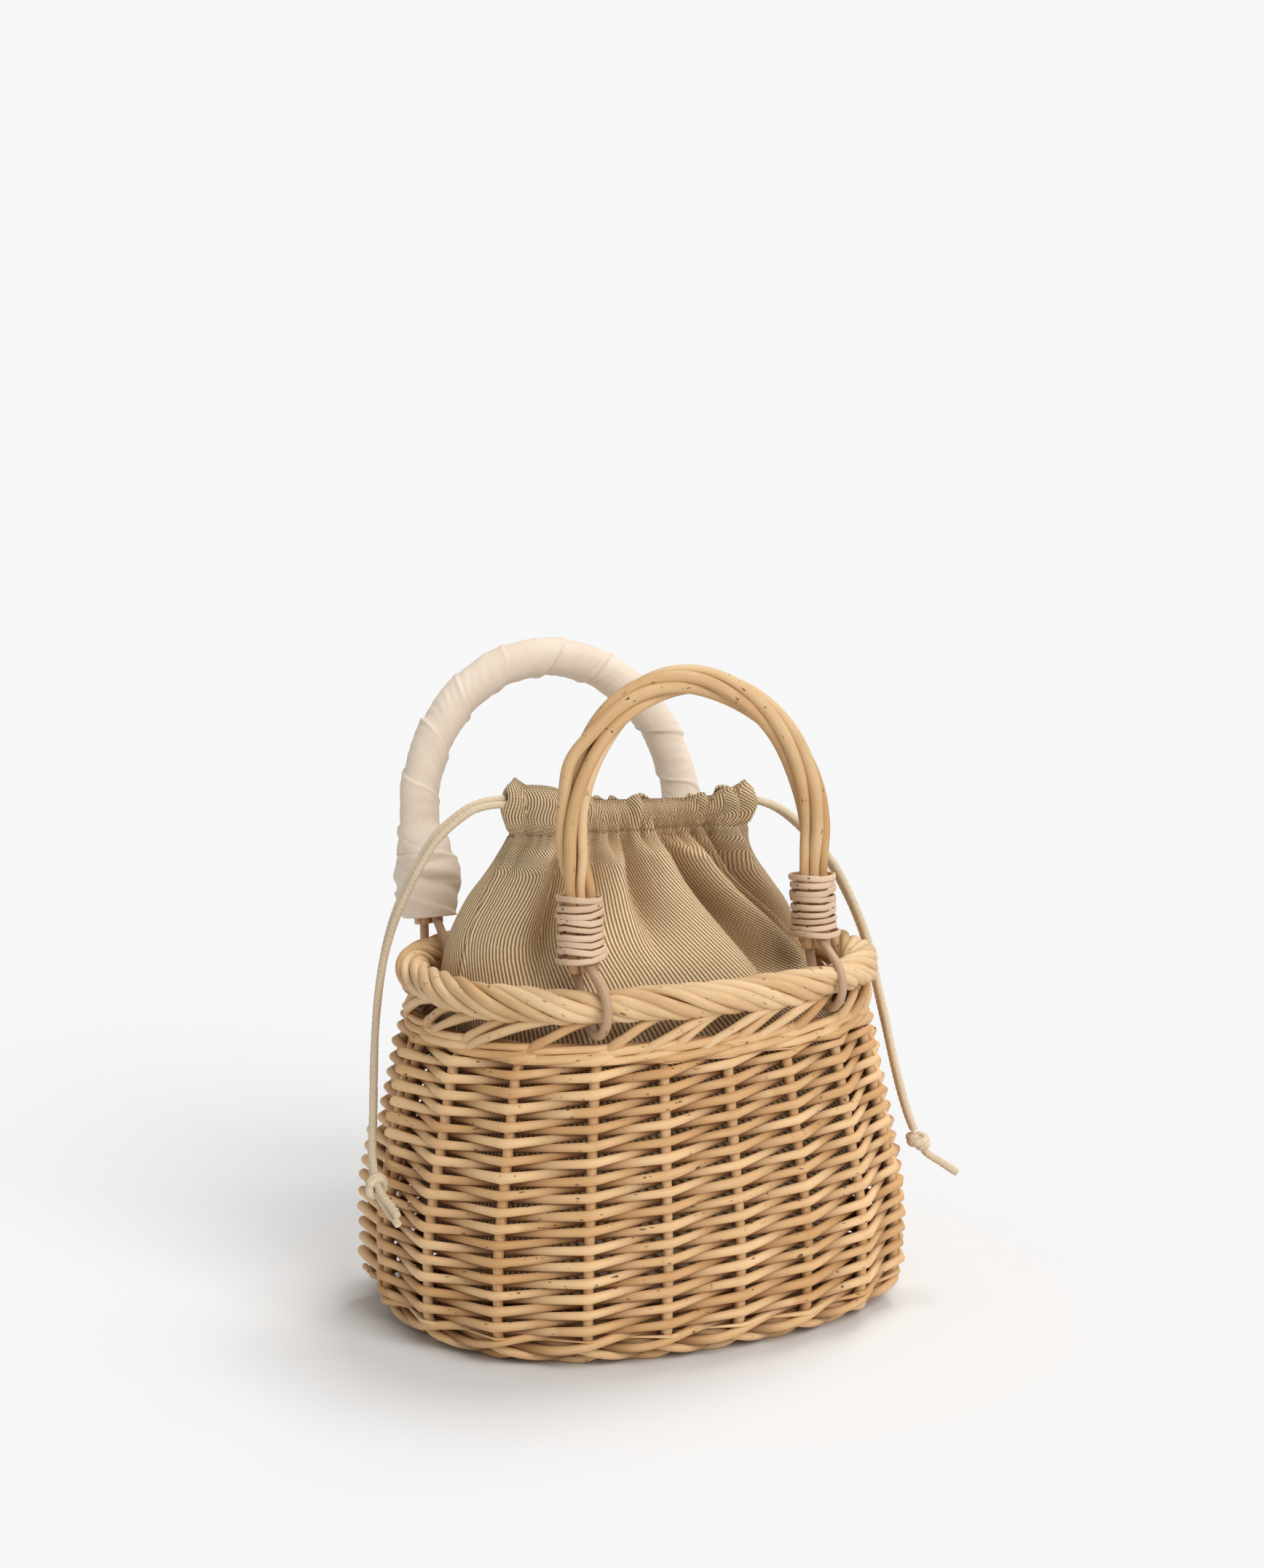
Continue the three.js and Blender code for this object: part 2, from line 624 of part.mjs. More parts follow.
// A rod bent round the border: up one side of the bundle, under the border, up the other
function loopPath(frame, side) {
  const offset = TIE_DEPTH / 2 + GAP + LOOP_ROD / 2;
  const x = side * frame.foot;
  const lean = normalOf(frame);
  const legAt = (sign, rise) => leaning(frame, x, rise).addScaledVector(lean, sign * offset);
  const bottom = FOOT_RISE - LEG_DROP;
  const outerFoot = legAt(-1, bottom);
  const innerFoot = legAt(1, bottom);
  const swing = (point, sign) => {
    const reach = Math.hypot(point.y, point.z);
    return Math.atan2(point.z, point.y) + sign * Math.acos(LOOP_RADIUS / reach);
  };
  const start = swing(outerFoot, 1);
  const end = swing(innerFoot, -1) + 2 * Math.PI;
  const arc = Array.from({ length: LOOP_BENDS + 1 }, (_, i) => {
    const angle = start + ((end - start) * i) / LOOP_BENDS;
    return new THREE.Vector3(x, LOOP_RADIUS * Math.cos(angle), LOOP_RADIUS * Math.sin(angle));
  });
  const top = FOOT_RISE + BINDING_LENGTH - LOOP_ROD;
  const outerLeg = [legAt(-1, top), legAt(-1, FOOT_RISE), outerFoot];
  const innerLeg = [innerFoot, legAt(1, FOOT_RISE), legAt(1, top)];
  return [...outerLeg, ...arc, ...innerLeg];
}

function makeLoop(frame, side, name) {
  const path = loopPath(frame, side);
  const half = LOOP_ROD / 2;
  const steady = new THREE.Vector3(1, 0, 0);
  const rings = tube(path, steady, LOOP_SIDES, () => ({ along: half, across: half }));
  addPiece(frame.group, name, skin(rings, false), willow);
}

// Half widths of the cloth wrap's outside or inside at a rise above the border
function wrapSize(rise, outside) {
  const top = FOOT_RISE + BINDING_LENGTH;
  const round = HANDLE_DIAMETER / 2 + FIT;
  const free = Math.min(1, Math.max(0, (rise - top - FIT) / HANDLE_DIAMETER));
  const ease = free * free * (3 - 2 * free);
  const hug = BINDING_WALL + FIT;
  const part = Math.min(1, Math.max(0, (rise - WRAP_START) / BUNCH_LENGTH));
  const cloth = outside ? WRAP_CLOTH + WRAP_BUNCH * Math.sin(Math.PI * part) : 0;
  return {
    along: (HOLE.along + hug) * (1 - ease) + round * ease + cloth,
    across: (HOLE.across + hug) * (1 - ease) + round * ease + cloth,
    square: (2 / OVAL_POWER) * (1 - ease) + ease,
  };
}

// Cloth wound round the back handle: close on the bundle, bunched over the bindings
function makeWrap(frame) {
  const full = archPath(frame, WRAP_START);
  const top = FOOT_RISE + BINDING_LENGTH;
  const path = full.slice(0, 1);
  for (let i = 1; i < full.length; i += 1) {
    if (full[i].z < top + 1 || full[i - 1].z < top + 1) {
      path.push(full[i - 1].clone().lerp(full[i], 0.5));
    }
    path.push(full[i]);
  }
  const outer = tube(path, normalOf(frame), WRAP_SIDES, (step) => wrapSize(path[step].z, true));
  const inner = tube(path, normalOf(frame), WRAP_SIDES, (step) => wrapSize(path[step].z, false));
  const rings = [...outer, ...inner.reverse()];
  addPiece(frame.group, 'handle_wrap', skin(rings, true), cotton);
}

// How far the pouch's cloth is drawn in by its folds, at a place around it
function foldAt(around, rise) {
  const strength = readRows(POUCH_ROWS, rise, 'fold');
  const depth = FOLD_ROWS.reduce((sum, fold) => {
    const away = Math.abs(((around - fold.around + 1.5) % 1) - 0.5);
    return sum + fold.depth * Math.exp(-((away / fold.width) ** 2));
  }, 0);
  return depth * strength * FOLD_DEPTH;
}

// One ring of the pouch, drawn in by the cloth's thickness where it is the inside
function pouchRing(rise, inward, floor) {
  const halfLength = readRows(POUCH_ROWS, rise, 'length') * OPENING.length;
  const halfDepth = readRows(POUCH_ROWS, rise, 'depth') * OPENING.depth;
  const shift = readRows(POUCH_ROWS, rise, 'shift') * OPENING.length;
  const height = floor + rise * POUCH_HEIGHT;
  return Array.from({ length: POUCH_SIDES }, (_, i) => {
    const around = i / POUCH_SIDES;
    const angle = -Math.PI / 2 + 2 * Math.PI * around;
    const point = ovalPoint(angle, halfLength - inward, halfDepth - inward);
    const drawn = Math.min(foldAt(around, rise), halfDepth * 0.3);
    const reach = Math.max(1, point.length());
    point.multiplyScalar(1 - Math.min(0.5, drawn / reach));
    const lip = LIP_RISE * Math.max(0, (rise - 0.9) / 0.1) * Math.abs(point.x / halfLength) ** 3;
    return new THREE.Vector3(point.x + shift, point.y, height + lip);
  });
}

function makePouch() {
  const floor = BASE_THICKNESS + GAP;
  const casing = 1 - CASING_HEIGHT / POUCH_HEIGHT;
  const rises = [...POUCH_ROWS.map((row) => row.rise), (1 + casing) / 2];
  rises.sort((low, high) => low - high);
  const outer = rises.map((rise) => pouchRing(rise, 0, floor));
  const inside = [...LINING_RISES, POUCH_CLOTH / POUCH_HEIGHT];
  const inner = inside.map((rise) => pouchRing(rise, POUCH_CLOTH, floor));
  addPiece(bag, 'pouch', skin([...outer, ...inner], false), twill);
}

// A route's points moved to one side, for one strand of the pair
function strandPoints(route, sign) {
  const spots = route.map((row) => new THREE.Vector3(row.x, row.y, row.z));
  return spots.map((spot, i) => {
    const before = spots[Math.max(0, i - 1)];
    const after = spots[Math.min(spots.length - 1, i + 1)];
    const ahead = new THREE.Vector3().subVectors(after, before).normalize();
    const out = new THREE.Vector3(spot.x, spot.y, 0).normalize();
    const beside = new THREE.Vector3().crossVectors(ahead, out).normalize();
    return spot.clone().addScaledVector(beside, (sign * route[i].spread * CORD_DIAMETER) / 2);
  });
}

function makeStrand(route, sign, name) {
  const curve = new THREE.CatmullRomCurve3(strandPoints(route, sign), false, 'centripetal');
  const steps = Math.round(curve.getLength() / CORD_STEP);
  const corners = Array.from({ length: CORD_SIDES }, (_, side) => {
    const angle = (2 * Math.PI * side) / CORD_SIDES;
    return new THREE.Vector2(Math.cos(angle), Math.sin(angle)).multiplyScalar(CORD_DIAMETER / 2);
  });
  const shape = new THREE.Shape(corners);
  const geometry = new THREE.ExtrudeGeometry(shape, { steps, extrudePath: curve });
  const bare = geometry.clone();
  bare.deleteAttribute('normal');
  bare.deleteAttribute('uv');
  addPiece(bag, name, mergeVertices(bare, 1e-4), braid);
}

// An overhand knot that ties the pair together, with the two short ends beyond it
function makeKnot(route, turn, name) {
  const [before, last] = route.slice(-2).map((row) => new THREE.Vector3(row.x, row.y, row.z));
  const ahead = new THREE.Vector3().subVectors(last, before).normalize();
  const start = last.clone().addScaledVector(ahead, GAP);
  const lump = KNOT_ROWS.map(({ share }) => {
    return start.clone().addScaledVector(ahead, share * KNOT_DIAMETER);
  });
  const end = lump[lump.length - 1];
  const bends = [0.25, 0.6, 1].map((share) => {
    const way = ahead.clone().lerp(turn, Math.min(1, 0.5 + share)).normalize();
    return end.clone().addScaledVector(way, share * TAIL_LENGTH);
  });
  const path = [...lump, ...bends];
  const steady = new THREE.Vector3(start.x, start.y, 0).normalize();
  const rings = tube(path, steady, KNOT_SIDES, (step) => {
    const row = KNOT_ROWS[Math.min(step, KNOT_ROWS.length - 1)];
    const tail = step >= KNOT_ROWS.length;
    const across = tail ? CORD_DIAMETER : row.wide * KNOT_DIAMETER;
    const along = tail ? CORD_DIAMETER * 0.55 : row.deep * KNOT_DIAMETER;
    return { across, along };
  });
  addPiece(bag, name, skin(rings, false), braid);
}

function makeHandles() {
  HANDLE_ROWS.forEach((row) => {
    const frame = handleFrame(row);
    const front = row.side < 0;
    const name = front ? 'front_handle' : 'back_handle';
    makeHandle(frame, name, front ? ROPE_GROOVE : 0, front ? HANDLE_LOBES * 2 : CORE_SIDES);
    [-1, 1].forEach((side) => {
      const world = (side < 0) === front ? 'left' : 'right';
      makeBinding(frame, side, `binding_${row.name}_${world}`, front ? BINDING_TURNS : 1);
      makeLoop(frame, side, `loop_${row.name}_${world}`);
    });
    if (!front) makeWrap(frame);
  });
}

function makeDrawstrings() {
  makeStrand(LEFT_ROUTE, -1, 'cord_left_front');
  makeStrand(LEFT_ROUTE, 1, 'cord_left_back');
  makeKnot(LEFT_ROUTE, TAIL_TURN.left, 'knot_left');
  makeStrand(RIGHT_ROUTE, -1, 'cord_right_front');
  makeStrand(RIGHT_ROUTE, 1, 'cord_right_back');
  makeKnot(RIGHT_ROUTE, TAIL_TURN.right, 'knot_right');
}

makeBase();
makeFoot();
makeWall();
makeWale();
makeBorder();
makeHandles();
makePouch();
makeDrawstrings();

export default bag;
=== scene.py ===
import bpy
import math
import numpy as np
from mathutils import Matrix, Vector


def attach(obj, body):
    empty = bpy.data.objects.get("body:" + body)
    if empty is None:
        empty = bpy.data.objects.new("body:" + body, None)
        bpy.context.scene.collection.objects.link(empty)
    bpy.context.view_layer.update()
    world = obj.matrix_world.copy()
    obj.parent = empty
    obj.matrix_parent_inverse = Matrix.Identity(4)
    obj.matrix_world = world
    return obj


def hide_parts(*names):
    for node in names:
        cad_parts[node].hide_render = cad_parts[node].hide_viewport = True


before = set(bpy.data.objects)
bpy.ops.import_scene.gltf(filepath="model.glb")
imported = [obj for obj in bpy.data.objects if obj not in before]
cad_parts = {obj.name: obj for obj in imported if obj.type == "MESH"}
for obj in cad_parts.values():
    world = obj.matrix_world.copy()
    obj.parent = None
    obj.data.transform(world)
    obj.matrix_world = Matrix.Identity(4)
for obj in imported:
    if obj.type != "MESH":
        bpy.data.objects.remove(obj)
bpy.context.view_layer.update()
rng = np.random.default_rng(7)
print("frame loaded")


# Camera, placed and turned as the photo's was
cameraSettings = {
    "place": (-0.54588, -1.03815, 0.38940),
    "down": 8.293,    # degrees below the horizon
    "towardsRight": 27.628,    # degrees from the back towards the right end
    "lens": 65.563,
}


def makeCamera(settings):
    data = bpy.data.cameras.new("camera")
    data.lens = settings["lens"]
    data.sensor_width = 36
    data.clip_end = 50
    camera = bpy.data.objects.new("camera", data)
    camera.location = settings["place"]
    camera.rotation_euler = (
        math.radians(90 - settings["down"]), 0, -math.radians(settings["towardsRight"]),
    )
    bpy.context.scene.collection.objects.link(camera)
    bpy.context.scene.camera = camera


makeCamera(cameraSettings)


# Whole-array geometry helpers

def unit(vectors):
    return vectors / np.linalg.norm(vectors, axis=-1, keepdims=True)


def signedPower(values, power):
    return np.sign(values) * np.abs(values) ** power


def ease(share):
    # 0 below 0, 1 above 1, and 3 s^2 - 2 s^3 between
    share = np.clip(share, 0, 1)
    return share**2 * (3 - 2 * share)


def bell(distance, width, power=2):
    return np.exp(-np.abs(distance / width) ** power)


def lifted(plan, height):
    # Points of the plan at a height, or directions in the plan with a height of 0
    height = np.broadcast_to(height, plan.shape[:-1])
    return np.concatenate([plan, height[..., None]], -1)


def smoothAlong(knots, values, at):
    # Cubic pieces through the values. The slope at a knot is that between its two neighbours.
    knots = np.asarray(knots, float)
    values = np.asarray(values, float)
    flat = values.ndim == 1
    rows = values[:, None] if flat else values
    at = np.asarray(at, float)
    slope = np.empty_like(rows)
    slope[1:-1] = (rows[2:] - rows[:-2]) / (knots[2:] - knots[:-2])[:, None]
    slope[0] = (rows[1] - rows[0]) / (knots[1] - knots[0])
    slope[-1] = (rows[-1] - rows[-2]) / (knots[-1] - knots[-2])
    low = np.clip(np.searchsorted(knots, at) - 1, 0, len(knots) - 2)
    span = knots[low + 1] - knots[low]
    t = np.clip((at - knots[low]) / span, 0, 1)[..., None]
    span = span[..., None]
    curve = (2 * t**3 - 3 * t**2 + 1) * rows[low] + (t**3 - 2 * t**2 + t) * span * slope[low]
    curve = curve + (3 * t**2 - 2 * t**3) * rows[low + 1] + (t**3 - t**2) * span * slope[low + 1]
    return curve[..., 0] if flat else curve


def evenPath(points, count, fineSteps=2000):
    # The smooth curve through a few points, cut into equal lengths
    points = np.asarray(points, float)
    knots = np.r_[0, np.cumsum(np.linalg.norm(np.diff(points, axis=0), axis=1))]
    fine = smoothAlong(knots, points, np.linspace(0, knots[-1], fineSteps))
    run = np.r_[0, np.cumsum(np.linalg.norm(np.diff(fine, axis=0), axis=1))]
    marks = np.linspace(0, run[-1], count)
    return np.stack([np.interp(marks, run, fine[:, axis]) for axis in range(3)], -1)


def pathLength(points):
    return float(np.linalg.norm(np.diff(points, axis=0), axis=1).sum())


def wander(shape, waves, size):
    # Slow random swings along the last axis that join up at its two ends: a sum of a few sines
    steps = shape[-1]
    at = np.linspace(0, 2 * np.pi, steps, endpoint=False)
    total = np.zeros(shape)
    for wave in waves:
        strength = rng.normal(0, 1 / len(waves), shape[:-1] + (1,))
        phase = rng.uniform(0, 2 * np.pi, shape[:-1] + (1,))
        total = total + strength * np.sin(wave * at + phase)
    return total * size


def sweep(paths, steady, along, across, sides, closed=False, square=1.0):
    # Rings round each path. Along lies nearest the steady direction, across is square to it and
    # to the path, and a square below 1 makes the ellipse a fuller oval.
    if closed:
        ahead = unit(np.roll(paths, -1, axis=-2) - np.roll(paths, 1, axis=-2))
    else:
        ahead = unit(np.gradient(paths, axis=-2))
    sideways = unit(np.cross(ahead, np.broadcast_to(steady, ahead.shape)))
    upright = unit(np.cross(sideways, ahead))
    angle = np.linspace(0, 2 * np.pi, sides, endpoint=False)
    c, s = signedPower(np.cos(angle), square), signedPower(np.sin(angle), square)
    out = (c * along)[..., None] * upright[..., None, :]
    return paths[..., None, :] + out + (s * across)[..., None] * sideways[..., None, :]


def gridQuads(rows, columns, closeRows, closeColumns):
    # Corner numbers of each face of a grid, and the row and column of each corner
    r = np.arange(rows if closeRows else rows - 1)
    c = np.arange(columns if closeColumns else columns - 1)
    r, c = np.meshgrid(r, c, indexing="ij")
    nextRow, nextColumn = (r + 1) % rows, (c + 1) % columns
    corners = [(r, c), (r, nextColumn), (nextRow, nextColumn), (nextRow, c)]
    quads = np.stack([row * columns + column for row, column in corners], -1)
    spots = [(r, c), (r, c + 1), (r + 1, c + 1), (r + 1, c)]
    places = np.stack([np.stack(spot, -1) for spot in spots], -2)
    return quads.reshape(-1, 4), places.reshape(-1, 4, 2)


def signedVolume(points, quads):
    a, b, c, d = (points[quads[:, i]] for i in range(4))
    first = np.einsum("ij,ij->i", a, np.cross(b, c))
    return float((first + np.einsum("ij,ij->i", a, np.cross(c, d))).sum())


def makeMesh(name, points, quads, caps, uv, fields):
    # Quads and flat end caps as one mesh, with its own UV map and point values
    mesh = bpy.data.meshes.new(name)
    points = np.ascontiguousarray(points, np.float32)
    loops = np.concatenate([quads.ravel(), caps.ravel()]).astype(np.int32)
    starts = np.concatenate([
        np.arange(len(quads)) * 4, quads.size + np.arange(len(caps)) * caps.shape[-1],
    ]).astype(np.int32)
    mesh.vertices.add(len(points))
    mesh.vertices.foreach_set("co", points.ravel())
    mesh.loops.add(len(loops))
    mesh.loops.foreach_set("vertex_index", loops)
    mesh.polygons.add(len(starts))
    mesh.polygons.foreach_set("loop_start", starts)
    smooth = np.r_[np.ones(len(quads), bool), np.zeros(len(caps), bool)]
    mesh.update(calc_edges=True)
    mesh.polygons.foreach_set("use_smooth", smooth)
    layer = mesh.uv_layers.new(name="UVMap")
    allUv = np.concatenate([uv.reshape(-1, 2), np.zeros((caps.size, 2))])
    layer.data.foreach_set("uv", allUv.astype(np.float32).ravel())
    for key, values in fields.items():
        attribute = mesh.attributes.new(key, "FLOAT", "POINT")
        attribute.data.foreach_set("value", np.ascontiguousarray(values, np.float32).ravel())
    mesh.validate()
    return mesh


def addPiece(name, mesh, body, material):
    mesh.materials.append(material)
    piece = bpy.data.objects.new(name, mesh)
    bpy.context.scene.collection.objects.link(piece)
    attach(piece, body)
    return piece


def tubePiece(name, rings, body, material, closed=False, tone=0.5, depth=1.0):
    # Rings are rods x steps x sides x 3. UV is metres round and along each rod.
    rods, steps, sides = rings.shape[:3]
    quads, places = gridQuads(steps, sides, closed, True)
    flip = signedVolume(rings[0].reshape(-1, 3), quads) < 0
    if flip:
        quads, places = quads[:, ::-1], places[:, ::-1]
    around = float(np.linalg.norm(rings[:, :, 0] - rings[:, :, 1], axis=-1).mean())
    stride = np.linalg.norm(np.diff(rings.mean(axis=2), axis=1), axis=-1).mean(axis=1)
    rod = np.arange(rods)[:, None, None]
    uv = np.empty((rods,) + places.shape)
    uv[..., 0] = places[..., 1] * around
    uv[..., 1] = places[None, ..., 0] * stride[:, None, None] + rod * 0.37
    offsets = rod * steps * sides
    allQuads = (quads[None] + offsets).reshape(-1, 4)
    if closed:
        caps = np.zeros((0, sides), int)
    else:
        ends = np.arange(sides)[::-1] if flip else np.arange(sides)
        pair = np.stack([ends[::-1], ends + (steps - 1) * sides])
        caps = (pair[None] + offsets).reshape(-1, sides)
    # Depth is 1 on the outside and lower further in; the rod material paints shade from it
    fields = {
        key: np.broadcast_to(np.asarray(values)[..., None], (rods, steps, sides))
        for key, values in (("tone", tone), ("depth", depth))
    }
    mesh = makeMesh(name, rings.reshape(-1, 3), allQuads, caps, uv, fields)
    return addPiece(name, mesh, body, material)


# Material helpers

def addNode(tree, kind, settings, inputs):
    made = tree.nodes.new(kind)
    for key, value in settings.items():
        setattr(made, key, value)
    for key, value in inputs.items():
        if isinstance(value, bpy.types.NodeSocket):
            tree.links.new(value, made.inputs[key])
        else:
            made.inputs[key].default_value = value
    return made


def mathNode(tree, operation, first, second=0.0):
    return addNode(tree, "ShaderNodeMath", {"operation": operation}, {0: first, 1: second}).outputs[0]


def addShare(tree, total, value, weight):
    return mathNode(tree, "ADD", total, mathNode(tree, "MULTIPLY", value, weight))


def stretch(tree, value, low, high, lowOut=0.0, highOut=1.0):
    inputs = {"Value": value, "From Min": low, "From Max": high, "To Min": lowOut, "To Max": highOut}
    return addNode(tree, "ShaderNodeMapRange", {"interpolation_type": "SMOOTHSTEP"}, inputs).outputs[0]


def blendColour(tree, share, first, second):
    return addNode(tree, "ShaderNodeMix", {"data_type": "RGBA"}, {0: share, 6: first, 7: second}).outputs[2]


def noise(tree, place, scale, detail=2.0):
    inputs = {"Vector": place, "Scale": scale, "Detail": detail}
    return addNode(tree, "ShaderNodeTexNoise", {}, inputs).outputs["Fac"]


def scaled(tree, place, size):
    return addNode(tree, "ShaderNodeVectorMath", {"operation": "MULTIPLY"}, {0: place, 1: size}).outputs[0]


def colour(red, green, blue):
    return (red, green, blue, 1.0)


def newGroup(name, inputs, outputs):
    group = bpy.data.node_groups.new(name, "ShaderNodeTree")
    for way, sockets in (("INPUT", inputs), ("OUTPUT", outputs)):
        for socket, kind in sockets.items():
            group.interface.new_socket(name=socket, in_out=way, socket_type=f"NodeSocket{kind}")
    return group, group.nodes.new("NodeGroupInput").outputs, group.nodes.new("NodeGroupOutput").inputs


rodLook = {
    # How many times a metre fibres, flecks, clouds and patches of flecks come
    "fibres": (1500, 45, 1), "flecks": (800, 260, 1), "clouds": 55.0, "patches": 120.0,
    # What tone, cloud and fibre add to a rod's lightness
    "base": -0.22, "tone": 0.62, "cloud": 0.62, "fibre": 0.38,
    # The depth where the painted shade starts, where it is full, and how strong it is there
    "diveShade": (0.85, 0.10, 0.0, 0.82),
    "fleckStrength": 0.9, "fleckColour": (0.085, 0.032, 0.010),
    "roughness": (0.3, 0.7, 0.44, 0.62), "fibreHeight": 0.6, "fleckHeight": -0.5, "relief": 0.00025,
}


def makeRodGroup(look):
    # Peeled willow: long fibres, cloudy colour, short dark flecks, and painted shade where rods dive in
    # behind others
    group, given, result = newGroup(
        "peeledRod",
        {"Along": "Vector", "Place": "Vector", "Tone": "Float", "Depth": "Float",
         "Light": "Color", "Dark": "Color", "DiveShade": "Color"},
        {"Color": "Color", "Roughness": "Float", "Height": "Float"},
    )
    fibre = noise(group, scaled(group, given["Along"], look["fibres"]), 1.0, 3.0)
    cloud = noise(group, given["Place"], look["clouds"], 3.0)
    flecks = noise(group, scaled(group, given["Along"], look["flecks"]), 1.0, 1.0)
    patchy = stretch(group, noise(group, given["Place"], look["patches"]), 0.48, 0.6)
    flecks = mathNode(group, "MULTIPLY", stretch(group, flecks, 0.67, 0.71), patchy)
    share = addShare(group, look["base"], given["Tone"], look["tone"])
    share = addShare(group, share, cloud, look["cloud"])
    share = stretch(group, addShare(group, share, fibre, look["fibre"]), 0.1, 1.0)
    body = blendColour(group, share, given["Dark"], given["Light"])
    # Painted shade: the further in a rod lies, the more it takes the dark diving colour
    body = blendColour(group, stretch(group, given["Depth"], *look["diveShade"]), body, given["DiveShade"])
    fleckShare = mathNode(group, "MULTIPLY", flecks, look["fleckStrength"])
    body = blendColour(group, fleckShare, body, colour(*look["fleckColour"]))
    group.links.new(body, result["Color"])
    group.links.new(stretch(group, fibre, *look["roughness"]), result["Roughness"])
    height = mathNode(group, "MULTIPLY", fibre, look["fibreHeight"])
    group.links.new(addShare(group, height, flecks, look["fleckHeight"]), result["Height"])
    return group


rodGroup = makeRodGroup(rodLook)


def newMaterial(name, roughness=0.6):
    material = bpy.data.materials.new(name)
    material.use_nodes = True
    shader = material.node_tree.nodes["Principled BSDF"]
    shader.inputs["Roughness"].default_value = roughness
    return material, material.node_tree, shader


def bump(tree, shader, height, distance):
    inputs = {"Height": height, "Distance": distance, "Strength": 1.0}
    made = addNode(tree, "ShaderNodeBump", {}, inputs)
    tree.links.new(made.outputs[0], shader.inputs["Normal"])


def rodMaterial(name, light, dark, diveShade, sheen):
    material, tree, shader = newMaterial(name)
    place = tree.nodes.new("ShaderNodeTexCoord")
    tone = addNode(tree, "ShaderNodeAttribute", {"attribute_name": "tone"}, {})
    depth = addNode(tree, "ShaderNodeAttribute", {"attribute_name": "depth"}, {})
    rod = addNode(tree, "ShaderNodeGroup", {"node_tree": rodGroup}, {
        "Along": place.outputs["UV"], "Place": place.outputs["Object"], "Tone": tone.outputs["Fac"],
        "Depth": depth.outputs["Fac"],
        "Light": colour(*light), "Dark": colour(*dark), "DiveShade": colour(*diveShade),
    })
    tree.links.new(rod.outputs["Color"], shader.inputs["Base Color"])
    tree.links.new(rod.outputs["Roughness"], shader.inputs["Roughness"])
    shader.inputs["Specular IOR Level"].default_value = sheen
    bump(tree, shader, rod.outputs["Height"], rodLook["relief"])
    return material


# The light and dark colours of each kind of rod, the colour of the painted shade where it dives in, and its
# sheen
rodKinds = {
    "willow": ((0.83, 0.56, 0.30), (0.56, 0.30, 0.115), (0.19, 0.072, 0.022), 0.25),
    "paleRod": ((0.78, 0.55, 0.315), (0.54, 0.315, 0.135), (0.26, 0.11, 0.038), 0.25),
    "skein": ((0.74, 0.54, 0.38), (0.52, 0.34, 0.21), (0.28, 0.14, 0.06), 0.35),
}
willow, paleRod, skein = (rodMaterial(name, *row) for name, row in rodKinds.items())


# Basket sizes, in metres, with the plan as an oval whose power is above 2
basket = {
    "length": 0.230, "depth": 0.186, "height": 0.129, "thickness": 0.008, "power": 2.47,
    "borderHeight": 0.14295,
    "rises": [0, 0.085, 0.2, 0.36, 0.64, 0.91, 1],
    "lengths": [0.871, 0.989, 1, 0.997, 0.938, 0.875, 0.849],
    "depths": [0.824, 0.974, 0.995, 1, 0.939, 0.876, 0.852],
    "stakesBetween": (4, 6, 5, 5),
}


def bellyAt(height):
    rise = np.asarray(height) / basket["height"]
    length = smoothAlong(basket["rises"], basket["lengths"], rise) * basket["length"] / 2
    depth = smoothAlong(basket["rises"], basket["depths"], rise) * basket["depth"] / 2
    return length, depth


def oval(angle, length, depth):
    # Points and outward normals of the oval |x/length|^power + |y/depth|^power = 1
    share = 2 / basket["power"]
    c, s = np.cos(angle), np.sin(angle)
    point = np.stack([length * signedPower(c, share), depth * signedPower(s, share)], -1)
    slope = np.stack([signedPower(c, 2 - share) / length, signedPower(s, 2 - share) / depth], -1)
    return point, unit(slope)


rimLength, rimDepth = (half - basket["thickness"] / 2 for half in bellyAt(basket["height"]))
fineAngles = np.linspace(-math.pi, 2 * math.pi, 6001)
finePlan = oval(fineAngles, rimLength, rimDepth)[0]
fineRun = np.r_[0, np.cumsum(np.linalg.norm(np.diff(finePlan, axis=0), axis=1))]


def runAt(angle):
    return np.interp(angle, fineAngles, fineRun)


def angleAt(run):
    return np.interp(run, fineRun, fineAngles)


rimRun = float(runAt(math.pi) - runAt(-math.pi))


def footAngle(share, side):
    return side * math.acos(math.copysign(abs(share) ** (basket["power"] / 2), share))


handles = {
    "front": {"side": -1, "left": -0.569, "right": 0.569, "spring": 0.66, "apex": 1.315,
              "flare": 0.019, "sway": -0.03, "inset": 0.132, "lean": 0.094, "loose": 1.0},
    "back": {"side": 1, "left": -0.704, "right": 0.64, "spring": 0.56, "apex": 1.295,
             "flare": 0.019, "sway": 0.0, "inset": -0.053, "lean": -0.15, "loose": 0.0},
}


def stakeRuns():
    front, back = handles["front"], handles["back"]
    feet = [footAngle(front["left"], -1), footAngle(front["right"], -1),
            footAngle(back["right"], 1), footAngle(back["left"], 1)]
    feet.append(feet[0] + 2 * math.pi)
    runs = [float(runAt(foot)) for foot in feet]
    spots = [a + (b - a) * np.arange(n) / n
             for a, b, n in zip(runs, runs[1:], basket["stakesBetween"])]
    return np.concatenate(spots)


stakes = stakeRuns()
stakeCount = len(stakes)
stakeMarks = np.r_[stakes, stakes[0] + rimRun]


def angleAtStake(mark):
    # Mark counts stakes round the basket, and may lie between two of them
    return angleAt(np.interp(mark, np.arange(stakeCount + 1), stakeMarks))


# How much of the wall's plan is the oval, and how much the straight line from stake to stake
wallPlan = {"oval": 0.15, "straight": 0.85}


